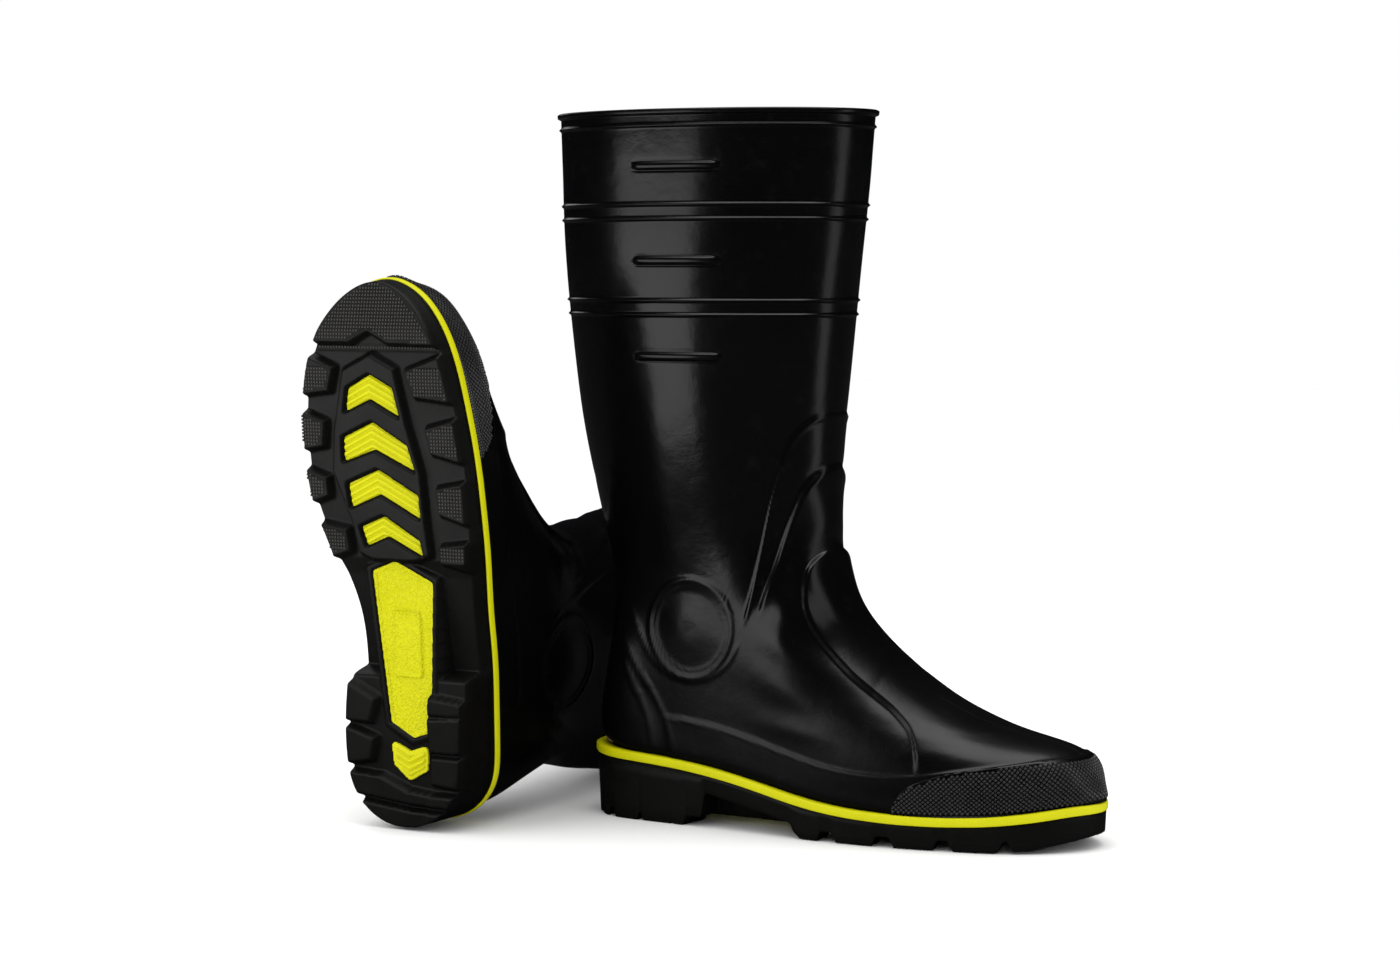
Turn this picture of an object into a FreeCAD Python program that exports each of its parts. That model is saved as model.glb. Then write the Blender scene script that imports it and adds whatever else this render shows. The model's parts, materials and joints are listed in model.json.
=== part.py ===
import FreeCAD, Part
import Sketcher
import math
import os

# A pair of tall moulded boots: the right one stands, the left one lies on its back beside it.
# The right boot is drawn in its own frame: X from heel to toe, Z up, tread on Z = 0, lateral (outer)
# side to -Y. The left boot is its mirror image, laid on its back.

# --------------------------------------------------------------------------- driving sizes (mm)

SIZES = [
    ("boot_height", 395.0),
    ("sole_length", 302.0),
    ("wall_thick", 3.0),
    ("lining_gap", 0.2),
    ("lining_thick", 1.2),
    ("lining_drop", 4.0),
    ("shell_floor", 2.0),
    ("board_thick", 1.8),
    ("footbed_heel_thick", 6.0),
    ("footbed_toe_thick", 3.5),
    ("stripe_thick", 4.8),
    ("stripe_step", 0.8),
    ("feather_step", 2.0),
    ("guard_thick", 1.4),
    ("guard_top", 50.0),
    ("guard_start", 196.0),
    ("ankle_x", 75.0),
    ("ankle_z", 110.0),
    ("ankle_disc_radius", 27.5),
    ("flex_front_low_deg", 2.0),
    ("flex_front_high_deg", 25.0),
    ("flex_rear_low_deg", 180.0),
    ("flex_rear_high_deg", 166.0),
    ("flex_gap", 0.2),
    ("lug_depth", 5.5),
    ("lug_step", 0.6),
    ("frame_level", 1.0),
    ("insert_gap", 0.15),
    ("insert_recess", 2.5),
    ("ridge_level", 4.5),
    ("ridge_rim", 3.5),
    ("panel_recess", 1.2),
    ("heel_breast", 84.0),
    ("waist_height", 19.5),
    ("toe_spring", 8.0),
    ("pad_length", 56.0),
    ("pad_width", 52.0),
    ("pad_thick", 7.0),
    ("pad_start", 14.0),
    ("pad_gap", 0.2),
    ("pad_cup", 3.0),
    ("footbed_slack", 2.0),
    ("pad_corner", 6.0),
    ("lying_x", -53.0),
    ("lying_y", -131.0),
]

# Side profile of the upper as (height, X) points: the back of the leg and heel, and the shin,
# instep and toe.
BACK_LINE = [(0, 2.0), (40, 1.5), (58, 2.5), (78, 6.5), (100, 10.5), (117, 12.0), (140, 9.5), (160, 3.5),
             (180, -1.6), (200, -5.7), (230, -11.8), (260, -15.5), (290, -19.0), (343, -23.0), (420, -25.0)]
FRONT_LINE = [(0, 299.5), (30, 300.0), (37, 298.5), (44, 295.5), (49, 291.5), (53, 283.0), (57, 265.0),
              (61, 246.0), (67, 228.0), (76, 208.0), (87, 192.0), (101, 176.0), (121, 160.0), (140, 151.0),
              (160, 147.5), (180, 146.5), (200, 147.0), (230, 149.0), (260, 152.0), (290, 155.0),
              (343, 161.0), (420, 168.0)]
# Half width of the leg against height.
LEG_HALF_WIDTH = [(0, 39.0), (100, 39.5), (120, 40.5), (140, 42.0), (160, 43.5), (180, 46.0), (200, 49.0),
                  (230, 53.0), (260, 56.0), (290, 58.0), (343, 59.0), (420, 60.5)]
# Plan of the sole against X: half widths outward from a centre line that bends inward at the toe.
LATERAL_HALF_WIDTH = [(0, 40.0), (45, 40.5), (82, 43.5), (125, 46.5), (160, 51.0), (195, 53.0), (225, 51.0),
                      (250, 47.5), (302, 45.0)]
MEDIAL_HALF_WIDTH = [(0, 37.5), (55, 38.0), (85, 34.5), (110, 32.5), (130, 34.0), (147, 39.5), (170, 48.0),
                     (195, 53.0), (220, 53.0), (250, 48.0), (302, 45.0)]
CENTRE_SHIFT = [(0, 0.0), (130, 0.0), (200, 4.0), (250, 7.5), (302, 9.5)]
HEEL_ROUND_START = 42.0
TOE_ROUND_START = 240.0
# Underside of the stripe (top of the outsole) against X.
SOLE_LINE = [(-10, 36.0), (0, 35.5), (40, 33.5), (80, 30.5), (110, 26.0), (140, 20.0), (170, 15.5),
             (200, 13.5), (235, 13.5), (265, 15.5), (290, 19.0), (315, 23.0)]

FOOT_TOP = 34.0            # height at which the foot's side walls start to arch over
FOOT_TO_LEG = (88.0, 165.0)  # heights between which the foot's plan becomes the leg's ellipse
ARCH_POWER = 2.3
SLICE_HEIGHTS = [4, 20, 33, 42, 49, 54, 58, 63, 70, 80, 92, 106, 122, 140, 162, 190, 220, 255, 295, 335,
                 375, 415]
SLICE_HALF_POINTS = 13
FAR = 600.0
UNDERFOOT = -20.0          # safely below the tread
SOLE_CEILING = 80.0        # safely above the sole
SKIN_GAP = 0.02            # keeps bonded faces from overlapping
SHARP_CORNERS = 2          # makeOffset2D's join by intersection


def size(alias):
    """Driving size from the document's sheet."""
    return float(sheet.get(alias))


def at(knots, value):
    """Smooth monotone curve through the knots (Fritsch-Carlson cubic), held flat past both ends."""
    if value <= knots[0][0]:
        return knots[0][1]
    if value >= knots[-1][0]:
        return knots[-1][1]
    steps = [b[0] - a[0] for a, b in zip(knots, knots[1:])]
    slopes = [(b[1] - a[1]) / w for a, b, w in zip(knots, knots[1:], steps)]

    def tangent(i):
        if i == 0:
            return slopes[0]
        if i == len(slopes):
            return slopes[-1]
        if slopes[i - 1] * slopes[i] <= 0:
            return 0.0
        near, far = steps[i - 1], steps[i]
        return 3 * (near + far) / ((2 * far + near) / slopes[i - 1] + (far + 2 * near) / slopes[i])

    i = max(k for k in range(len(steps)) if knots[k][0] <= value)
    u = (value - knots[i][0]) / steps[i]
    low, high = knots[i][1], knots[i + 1][1]
    return (low * (1 + 2 * u) * (1 - u) ** 2 + high * u * u * (3 - 2 * u)
            + steps[i] * (tangent(i) * u * (1 - u) ** 2 - tangent(i + 1) * u * u * (1 - u)))


def smooth_step(value, low, high):
    u = min(1.0, max(0.0, (value - low) / (high - low)))
    return u * u * (3 - 2 * u)


def crest_height(x, inset):
    """Height of the top of the foot at X, found by halving on the front line."""
    low, high = FOOT_TOP, 200.0
    if x + inset <= at(FRONT_LINE, high):
        return FAR
    for _ in range(40):
        middle = (low + high) / 2
        if at(FRONT_LINE, middle) > x + inset:
            low = middle
        else:
            high = middle
    return low - inset


def plan_half_width(x, lateral, grow=0.0):
    """Half width of the sole's plan at X, grown outward by a margin."""
    wide = at(LATERAL_HALF_WIDTH if lateral else MEDIAL_HALF_WIDTH, x) + grow
    if x < HEEL_ROUND_START:
        r = min(1.0, (HEEL_ROUND_START - x) / (HEEL_ROUND_START + grow))
        return wide * (1 - r ** 2.2) ** (1 / 2.1)
    if x > TOE_ROUND_START:
        r = min(1.0, (x - TOE_ROUND_START) / (size("sole_length") - TOE_ROUND_START + grow))
        return wide * (1 - r ** 1.9) ** (1 / 1.9)
    return wide


def slice_half_width(x, z, lateral, inset, ends):
    """Half width of the upper at X on the level Z, inset from its outer skin."""
    back, front = ends
    # foot: the sole's plan, arched over under the crest line
    feather = size("feather_step") + inset
    foot = max(0.0, plan_half_width(x, lateral, -feather))
    top = crest_height(x, inset)
    arch = min(1.0, max(0.0, (z - FOOT_TOP) / max(1e-6, top - FOOT_TOP)))
    foot *= (1 - arch ** ARCH_POWER) ** (1 / ARCH_POWER)
    heel = min(1.0, max(0.0, (HEEL_ROUND_START - x) / (HEEL_ROUND_START - back)))
    heel_half = (at(LEG_HALF_WIDTH, z) - inset) * (1 - heel ** 2.2) ** (1 / 2.1)
    if x < HEEL_ROUND_START:
        foot = heel_half
    # leg: an ellipse between the back and the shin
    middle, half_length = (back + front) / 2, (front - back) / 2
    u = min(1.0, abs(x - middle) / half_length)
    leg = (at(LEG_HALF_WIDTH, z) - inset) * math.sqrt(1 - u * u)
    share = smooth_step(z, *FOOT_TO_LEG)
    return foot * (1 - share) + leg * share


def level_curve(z, inset):
    """Closed outline of the upper on the level Z, as one periodic curve."""
    back = at(BACK_LINE, z) + inset
    front = at(FRONT_LINE, z + inset) - inset
    stations = [back + (front - back) * (1 - math.cos(math.pi * k / SLICE_HALF_POINTS)) / 2
                for k in range(SLICE_HALF_POINTS + 1)]

    def point(x, lateral):
        shift = at(CENTRE_SHIFT, x) * (1 - smooth_step(z, *FOOT_TO_LEG))
        half = slice_half_width(x, z, lateral, inset, (back, front)) if back < x < front else 0.0
        across = half - shift if lateral else -half - shift
        return FreeCAD.Vector(x, -across, z)

    around = [point(x, True) for x in stations]
    around += [point(x, False) for x in reversed(stations[1:-1])]
    curve = Part.BSplineCurve()
    curve.interpolate(Points=around, PeriodicFlag=True, Parameters=[float(k) for k in range(len(around) + 1)])
    return Part.Wire(curve.toShape())


def last_shape(inset):
    """Solid of the whole upper, inset from its outer skin, from under the foot to above the rim."""
    return Part.makeLoft([level_curve(z, inset) for z in SLICE_HEIGHTS], True, False)


def below(top):
    """Everything under the level top."""
    return Part.makeBox(2 * FAR, 2 * FAR, FAR, FreeCAD.Vector(-FAR, -FAR, top - FAR))


def curve_through(points):
    spline = Part.BSplineCurve()
    spline.interpolate([FreeCAD.Vector(*p) for p in points])
    return spline.toShape()


def line_wire(points):
    return Part.makePolygon([FreeCAD.Vector(*p) for p in points + points[:1]])


def above_sole_line(rise, toe_rise=None):
    """Everything above the sole line raised by an amount, which may differ at the toe."""
    toe_rise = rise if toe_rise is None else toe_rise
    reach = (SOLE_LINE[0][0] - 30.0, SOLE_LINE[-1][0] + 30.0)
    stations = [reach[0]] + [p[0] for p in SOLE_LINE] + [reach[1]]
    length = size("sole_length")
    floor = [(x, -FAR / 2, at(SOLE_LINE, x) + rise + (toe_rise - rise) * smooth_step(x, 0.3 * length, 0.8 * length))
             for x in stations]
    walls = [FreeCAD.Vector(*floor[-1]), FreeCAD.Vector(reach[1], -FAR / 2, FAR),
             FreeCAD.Vector(reach[0], -FAR / 2, FAR), FreeCAD.Vector(*floor[0])]
    wire = Part.Wire([curve_through(floor)] + Part.makePolygon(walls).Edges)
    return Part.Face(wire).extrude(FreeCAD.Vector(0, FAR, 0))


def plan_prism(grow, low, high):
    """Upright prism with the plan of the sole."""
    start, end = -grow, size("sole_length") + grow
    count = 16
    stations = [start + (end - start) * (1 - math.cos(math.pi * k / count)) / 2 for k in range(count + 1)]

    def point(x, lateral):
        half = plan_half_width(x, lateral, grow) if start < x < end else 0.0
        across = (half if lateral else -half) - at(CENTRE_SHIFT, x)
        return FreeCAD.Vector(x, -across, low)

    around = [point(x, True) for x in stations] + [point(x, False) for x in reversed(stations[1:-1])]
    curve = Part.BSplineCurve()
    curve.interpolate(Points=around, PeriodicFlag=True, Parameters=[float(k) for k in range(len(around) + 1)])
    return Part.Face(Part.Wire(curve.toShape())).extrude(FreeCAD.Vector(0, 0, high - low))


def prism(outline, low, high, grow=0.0):
    """Upright prism over an outline of (X, lateral) corners, grown or shrunk by a margin."""
    face = Part.Face(line_wire([(x, -v, low) for x, v in outline]))
    if grow:
        face = face.makeOffset2D(grow, join=SHARP_CORNERS)
    return face.extrude(FreeCAD.Vector(0, 0, high - low))


def union(shapes):
    return shapes[0].multiFuse(shapes[1:]).removeSplitter() if len(shapes) > 1 else shapes[0]


def single(shape):
    """The biggest solid of a result, which drops slivers."""
    return max(shape.Solids, key=lambda solid: solid.Volume)


# --------------------------------------------------------------------------- upper

def ankle_sector(low_deg, high_deg, gap):
    """Wedge across the whole boot, opening from the ankle axis between two angles."""
    x, z = size("ankle_x"), size("ankle_z")
    low, high = math.radians(low_deg), math.radians(high_deg)
    half = (low + high) / 2
    spread = max(1e-3, math.sin((high - low) / 2))
    tip = FreeCAD.Vector(x + gap / spread * math.cos(half), 0, z + gap / spread * math.sin(half))
    steps = max(1, int(abs(high_deg - low_deg) // 45) + 1)
    rim = [low + (high - low) * k / steps for k in range(steps + 1)]
    corners = [(tip.x, -FAR / 2, tip.z)]
    corners += [(x + FAR * math.cos(r), -FAR / 2, z + FAR * math.sin(r)) for r in rim]
    return Part.Face(line_wire(corners)).extrude(FreeCAD.Vector(0, FAR, 0))


def ankle_disc(radius):
    axis_point = FreeCAD.Vector(size("ankle_x"), -FAR / 2, size("ankle_z"))
    return Part.makeCylinder(radius, FAR, axis_point, FreeCAD.Vector(0, 1, 0))


def moulded_upper():
    """The one-piece moulded upper, hollow and open at the top."""
    outer = last_shape(0.0).common(below(size("boot_height")))
    outer = outer.common(above_sole_line(size("stripe_thick")))
    hollow = last_shape(size("wall_thick"))
    hollow = hollow.common(above_sole_line(size("stripe_thick") + size("shell_floor")))
    return outer.cut(hollow)


def upper_parts():
    """The moulding in three: foot, leg and the flexing zone at the ankle."""
    upper = moulded_upper()
    gap = size("flex_gap") / 2
    front = (size("flex_front_low_deg"), size("flex_front_high_deg"))
    rear = (size("flex_rear_high_deg"), size("flex_rear_low_deg"))
    disc = size("ankle_disc_radius")
    around_disc = ankle_disc(disc + gap)
    leg = single(upper.common(ankle_sector(front[1], rear[0], gap)).cut(around_disc))
    foot = single(upper.common(ankle_sector(rear[1], 360.0 + front[0], gap)).cut(around_disc))
    zone = union([ankle_sector(*front, gap), ankle_sector(*rear, gap), ankle_disc(disc - gap)])
    return {"shaft": leg, "foot_shell": foot, "ankle_flex_zone": upper.common(zone)}


def toe_guard():
    """Bumper moulded round the toe, from the stripe to a level top edge."""
    skin = last_shape(0.0)
    grown = last_shape(-size("guard_thick"))
    start = size("guard_start")
    stripe_top = size("stripe_thick") + 0.05
    top = size("guard_top")
    window = line_wire([(start, -FAR / 2, 0), (start + 26, -FAR / 2, 44), (start + 44, -FAR / 2, top - 3),
                        (size("sole_length") + 20, -FAR / 2, top), (size("sole_length") + 20, -FAR / 2, 0)])
    window = Part.Face(window).extrude(FreeCAD.Vector(0, FAR, 0))
    return single(grown.common(window).common(above_sole_line(stripe_top)).cut(skin))


# --------------------------------------------------------------------------- inside

def lining():
    """Knitted sock lining, open at the bottom where it meets the insole board."""
    outer_inset = size("wall_thick") + size("lining_gap")
    floor = size("stripe_thick") + size("shell_floor") + 2 * size("lining_gap") + size("board_thick")
    outer = last_shape(outer_inset).common(below(size("boot_height") - size("lining_drop")))
    inner = last_shape(outer_inset + size("lining_thick"))
    return single(outer.common(above_sole_line(floor)).cut(inner))


def floor_layer(inset, rise, thick, toe_thick):
    """Flat layer over the sole line inside the upper."""
    body = last_shape(inset)
    return single(body.common(above_sole_line(rise)).cut(above_sole_line(rise + thick, rise + toe_thick)))


def insole_board():
    inset = size("wall_thick") + 2 * size("lining_gap")
    rise = size("stripe_thick") + size("shell_floor") + size("lining_gap")
    return floor_layer(inset, rise, size("board_thick"), size("board_thick"))


def footbed():
    inset = size("wall_thick") + size("lining_thick") + size("footbed_slack")
    rise = size("stripe_thick") + size("shell_floor") + size("board_thick") + 2 * size("lining_gap")
    return floor_layer(inset, rise, size("footbed_heel_thick"), size("footbed_toe_thick"))


# --------------------------------------------------------------------------- sole

# Tread blocks as (X, lateral) corners.
TOE_LUG = [(269, -60), (268.5, -25), (275, -11.5), (268.5, 1), (267, 45), (320, 45), (320, -60)]
MEDIAL_LUGS = [
    [(264, -60), (254.5, -35), (242, -38.5), (239, -62)],
    [(233, -66), (225, -42), (211.5, -43.5), (207.5, -66)],
    [(202, -66), (194, -42), (184, -41), (176.5, -64)],
    [(170.5, -62), (166, -30), (154, -28), (147, -50)],
]
LATERAL_LUGS = [
    [(253.5, 12.5), (264, 42), (236, 50), (239.5, 18)],
    [(222.5, 24.5), (230, 55), (202, 58), (209, 28)],
    [(190, 30), (195.5, 60), (168, 60), (176, 32)],
    [(158.5, 31.5), (162, 60), (141.5, 58), (149.5, 31.5)],
]
HEEL_LUGS = [
    [(79.5, -48), (81.5, -36), (72, -15.5), (59.5, -20.5), (59.5, -48)],
    [(56, -48), (56, -38), (50, -17.5), (38, -20.5), (35.5, -34), (35.5, -48)],
    [(75, 19), (71.5, 52), (66, 52), (65, 19)],
    [(63, 18), (65.5, 52), (45.5, 52), (44.5, 19)],
    [(42, 20), (42, 52), (24, 52), (27, 19)],
    [(31, -48), (29, -14), (22, 3), (20, 22), (21, 52), (13, 52), (15, 4), (18, -24), (20, -48)],
    [(-8, -48), (16, -48), (14, -24), (11, 4), (9, 52), (-8, 52)],
]
CENTRE_FRAME = [(262, -11), (253.5, -29), (221, -36), (198, -38), (169, -26), (153, -22), (150, -14),
                (150, 14), (153, 24), (170.5, 22), (198, 20), (224.5, 12), (254.5, 5)]
# Yellow windows: chevrons, the long panel of the waist and the small heel insert.
CHEVRONS = [
    [(252, -12), (244, -27), (229.5, -29.5), (237, -12), (227, 8), (244.5, 3.5)],
    [(226, -11), (217, -31.5), (202, -31.5), (209.5, -10), (197.5, 17), (213, 12)],
    [(200, -8.5), (191.5, -29.5), (177, -27.5), (185, -7.5), (171.5, 19), (186, 18)],
    [(174.5, -5.5), (168, -22), (156, -18), (162, -3.5), (151, 20), (161, 18)],
]
WAIST_PANEL = [(149, -1.5), (143, -17), (59, -8.5), (51, 6), (55, 18), (138, 23)]
HEEL_INSERT = [(48, -7), (43, 4.5), (46.5, 15.5), (34.5, 15), (28.5, 3.5), (36.5, -6)]


def tread_profile(depth):
    """Side profile of the sole's underside raised by a depth, extruded across the boot."""
    breast, waist = size("heel_breast"), size("waist_height")
    length, spring = size("sole_length"), size("toe_spring")
    rise = [(-40, depth), (breast, depth), (breast + 2, max(depth, waist)), (141, 7.0 + 0.3 * depth),
            (150, depth), (250, depth), (275, depth + 0.2 * spring), (length, depth + spring),
            (length + 40, depth + 2.6 * spring)]
    corners = [(x, -FAR / 2, z) for x, z in rise]
    corners += [(length + 40, -FAR / 2, SOLE_CEILING), (-40, -FAR / 2, SOLE_CEILING)]
    return Part.Face(line_wire(corners)).extrude(FreeCAD.Vector(0, FAR, 0))


def below_sole_line():
    """Everything from under the tread up to the sole line."""
    corner = FreeCAD.Vector((size("sole_length") - FAR) / 2, -FAR / 2, UNDERFOOT)
    return Part.makeBox(FAR, FAR, SOLE_CEILING - UNDERFOOT, corner).cut(above_sole_line(0.0))


def windows(gap, low, outlines):
    return union([prism(outline, low, SOLE_CEILING, -gap) for outline in outlines])


def outsole():
    """Black outsole: a plate, its tread blocks, centre frame and waist ridge, with windows cut through."""
    depth, ridge = size("lug_depth"), size("ridge_level")
    plate = plan_prism(0.0, UNDERFOOT, SOLE_CEILING).common(tread_profile(depth))
    outlines = [TOE_LUG] + MEDIAL_LUGS + LATERAL_LUGS + HEEL_LUGS
    blocks = union([prism(outline, UNDERFOOT, 2 * depth) for outline in outlines]).common(tread_profile(0.0))
    frame = prism(CENTRE_FRAME, UNDERFOOT, 2 * depth).common(tread_profile(size("frame_level")))
    tread = plan_prism(size("lug_step"), UNDERFOOT, SOLE_CEILING).common(union([blocks, frame]))
    waist_ridge = prism(WAIST_PANEL, ridge, SOLE_CEILING, size("ridge_rim"))
    sole = union([plate, tread, waist_ridge]).common(below_sole_line())
    sole = sole.cut(windows(0.0, UNDERFOOT, CHEVRONS + [WAIST_PANEL, HEEL_INSERT]))
    return single(sole.cut(pad_block(size("pad_cup") + size("insert_gap"))))


def pad_block(grow):
    """Block round the heel pad's place, open upward, grown on the other sides."""
    wide = size("pad_width") + 2 * grow
    corner = FreeCAD.Vector(size("pad_start") - grow, -wide / 2, pad_floor() - grow)
    return Part.makeBox(size("pad_length") + 2 * grow, wide, SOLE_CEILING, corner)


def pad_floor():
    """Level of the heel pad's underside: its top stays under the stripe's."""
    heel_end = size("pad_start") + size("pad_length")
    return at(SOLE_LINE, heel_end) + size("stripe_thick") - size("pad_thick") - 0.3


def midsole():
    """Yellow layer that shows as the stripe all round and through the windows of the outsole."""
    layer = plan_prism(size("stripe_step"), UNDERFOOT, SOLE_CEILING).common(above_sole_line(SKIN_GAP))
    gap = size("insert_gap")
    inserts = windows(gap, UNDERFOOT, CHEVRONS + [HEEL_INSERT]).common(tread_profile(size("insert_recess")))
    panel = windows(gap, size("ridge_level") + size("panel_recess"), [WAIST_PANEL])
    sole = union([layer, inserts, panel, pad_block(size("pad_cup"))])
    sole = sole.cut(above_sole_line(size("stripe_thick") - SKIN_GAP))
    return single(sole.cut(pad_block(size("pad_gap"))))


def heel_pad(doc, label):
    """Shock pad: a block with rounded corners that fills the pocket in the heel."""
    body = doc.addObject("PartDesign::Body", label)
    plane = next(f for f in body.Origin.OriginFeatures if f.Role == "XY_Plane")
    sketch = body.newObject("Sketcher::SketchObject", label + "_outline")
    sketch.AttachmentSupport = [(plane, "")]
    sketch.MapMode = "FlatFace"
    sketch.AttachmentOffset = FreeCAD.Placement(FreeCAD.Vector(0, 0, pad_floor()), FreeCAD.Rotation())
    half = size("pad_width") / 2
    start, end = size("pad_start"), size("pad_start") + size("pad_length")
    corners = [FreeCAD.Vector(x, y, 0) for x, y in ((start, -half), (end, -half), (end, half), (start, half))]
    for k in range(4):
        sketch.addGeometry(Part.LineSegment(corners[k], corners[(k + 1) % 4]))
    for k in range(4):
        sketch.addConstraint(Sketcher.Constraint("Coincident", k, 2, (k + 1) % 4, 1))
    for rule, k in (("Horizontal", 0), ("Vertical", 1), ("Horizontal", 2)):
        sketch.addConstraint(Sketcher.Constraint(rule, k))
    sketch.addConstraint(Sketcher.Constraint("Symmetric", 0, 1, 2, 2, -1))
    for kind, geometry, cell in (("DistanceX", 0, "pad_length"), ("DistanceY", 1, "pad_width")):
        rule = sketch.addConstraint(Sketcher.Constraint(kind, geometry, 1, geometry, 2, size(cell)))
        sketch.setExpression("Constraints[%d]" % rule, "sizes." + cell)
    rule = sketch.addConstraint(Sketcher.Constraint("DistanceX", -1, 1, 0, 1, start))
    sketch.setExpression("Constraints[%d]" % rule, "sizes.pad_start")
    pad = body.newObject("PartDesign::Pad", label + "_block")
    pad.Profile = sketch
    pad.setExpression("Length", "sizes.pad_thick")
    doc.recompute()
    fillet = body.newObject("PartDesign::Fillet", label + "_corners")
    upright = ["Edge%d" % (n + 1) for n, edge in enumerate(pad.Shape.Edges)
               if abs(edge.tangentAt(edge.FirstParameter).z) > 0.9]
    fillet.Base = (pad, upright)
    fillet.setExpression("Radius", "sizes.pad_corner")
    return body


# --------------------------------------------------------------------------- the pair

def lying_placement():
    """The left boot on its back: toe up, lateral side to +X, leg along +Y, resting on heel and rim."""
    lean = math.degrees(math.atan2(-at(BACK_LINE, size("boot_height")), size("boot_height")))
    turned = FreeCAD.Rotation(FreeCAD.Vector(0, 0, 1), FreeCAD.Vector(1, 0, 0), FreeCAD.Vector(0, 1, 0), "XYZ")
    leaned = FreeCAD.Rotation(FreeCAD.Vector(1, 0, 0), lean).multiply(turned)
    return FreeCAD.Placement(FreeCAD.Vector(size("lying_x"), size("lying_y"), 0), leaned)


def add_shape(doc, label, shape, placement):
    piece = doc.addObject("Part::Feature", label)
    piece.Label = label
    piece.Shape = shape
    piece.Placement = placement
    return piece


def right_shapes():
    shapes = upper_parts()
    shapes["toe_guard"] = toe_guard()
    shapes["lining"] = lining()
    shapes["insole_board"] = insole_board()
    shapes["footbed"] = footbed()
    shapes["midsole"] = midsole()
    shapes["outsole"] = outsole()
    return shapes


def mirrored(shape):
    return shape.mirror(FreeCAD.Vector(0, 0, 0), FreeCAD.Vector(0, 1, 0))


def add_boot(doc, name, shapes, placement):
    pieces = [add_shape(doc, name + "_" + part, shape, placement) for part, shape in shapes.items()]
    pad = heel_pad(doc, name + "_heel_pad")
    pad.Placement = placement
    return pieces + [pad]


os.makedirs("parts", exist_ok=True)
doc = FreeCAD.newDocument("boots")
sheet = doc.addObject("Spreadsheet::Sheet", "sizes")
for row, (alias, value) in enumerate(SIZES, start=1):
    sheet.set("A%d" % row, alias)
    sheet.set("B%d" % row, str(value))
    sheet.setAlias("B%d" % row, alias)
doc.recompute()

standing = right_shapes()
lying = {part: mirrored(shape) for part, shape in standing.items()}
pieces = add_boot(doc, "right", standing, FreeCAD.Placement())
pieces += add_boot(doc, "left", lying, lying_placement())
doc.recompute()

for item in doc.Objects:
    if "Invalid" in item.State or "Error" in item.State:
        raise RuntimeError("%s did not recompute" % item.Label)
for piece in pieces:
    if piece.Shape.isNull() or not piece.Shape.isValid():
        raise RuntimeError("%s has no valid shape" % piece.Label)
for piece in pieces:
    piece.Shape.exportStep(os.path.join("parts", piece.Label + ".step"))
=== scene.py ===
"""Visual model of a pair of tall moulded boots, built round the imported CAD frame.

The right boot stands in the frame's own axes, so every surface is worked out there in millimetres by
casting rays at its CAD nodes. The left boot gets mirror images of the same meshes, laid where its
joints say.
"""

import json
import math
from types import SimpleNamespace

import bmesh
import bpy
import numpy as np
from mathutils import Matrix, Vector
from mathutils.bvhtree import BVHTree


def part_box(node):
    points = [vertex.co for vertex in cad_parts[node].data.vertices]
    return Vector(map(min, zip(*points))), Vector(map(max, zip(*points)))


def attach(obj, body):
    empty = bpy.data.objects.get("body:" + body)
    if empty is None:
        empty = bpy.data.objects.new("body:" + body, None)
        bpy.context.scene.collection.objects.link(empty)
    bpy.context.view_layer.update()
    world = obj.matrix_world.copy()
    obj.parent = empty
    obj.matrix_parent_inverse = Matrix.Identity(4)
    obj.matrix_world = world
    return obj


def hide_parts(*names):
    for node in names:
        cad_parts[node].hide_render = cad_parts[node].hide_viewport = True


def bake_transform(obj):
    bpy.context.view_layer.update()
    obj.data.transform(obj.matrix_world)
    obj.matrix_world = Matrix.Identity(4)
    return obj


MM = 0.001
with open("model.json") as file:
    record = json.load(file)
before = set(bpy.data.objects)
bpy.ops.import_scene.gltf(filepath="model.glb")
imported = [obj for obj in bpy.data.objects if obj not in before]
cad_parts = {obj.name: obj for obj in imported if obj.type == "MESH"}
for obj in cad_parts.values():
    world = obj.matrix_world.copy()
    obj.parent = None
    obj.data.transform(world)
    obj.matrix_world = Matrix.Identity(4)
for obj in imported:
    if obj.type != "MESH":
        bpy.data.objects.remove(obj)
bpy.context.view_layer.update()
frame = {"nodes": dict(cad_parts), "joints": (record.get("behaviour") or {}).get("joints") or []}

# ---------------- the frame, in millimetres


def node_box(node):
    low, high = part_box(node)
    return np.array(low) / MM, np.array(high) / MM


def joint_point(name):
    joint = next(j for j in frame["joints"] if j["name"] == name)
    return np.array(joint["pos_m"]) / MM


def node_tree(*nodes):
    """Search tree over the CAD meshes of some nodes."""
    points, faces = [], []
    for node in nodes:
        mesh = frame["nodes"][node].data
        first = len(points)
        points += [v.co / MM for v in mesh.vertices]
        faces += [[first + i for i in p.vertices] for p in mesh.polygons]
    return BVHTree.FromPolygons(points, faces)


def cast(tree, start, direction, reach=700.0):
    """Distance along a ray to its first hit, or nan."""
    hit = tree.ray_cast(Vector(start), Vector(direction), reach)
    return math.nan if hit[3] is None else hit[3]


ANKLE = joint_point("right_ankle_flex")
TOE_HINGE = joint_point("right_footbed_lift")
RIM_LEVEL = node_box("right_shaft")[1][2]
TOE_X = node_box("right_foot_shell")[1][0]
MIDSOLE_BOX = node_box("right_midsole")
SOLE_END = MIDSOLE_BOX[1][0]

UPPER_TREE = node_tree("right_shaft", "right_ankle_flex_zone", "right_foot_shell")
MIDSOLE_TREE = node_tree("right_midsole")
OUTSOLE_TREE = node_tree("right_outsole")
FOOTBED_TREE = node_tree("right_footbed")

# ---------------- sizes (mm)

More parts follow.
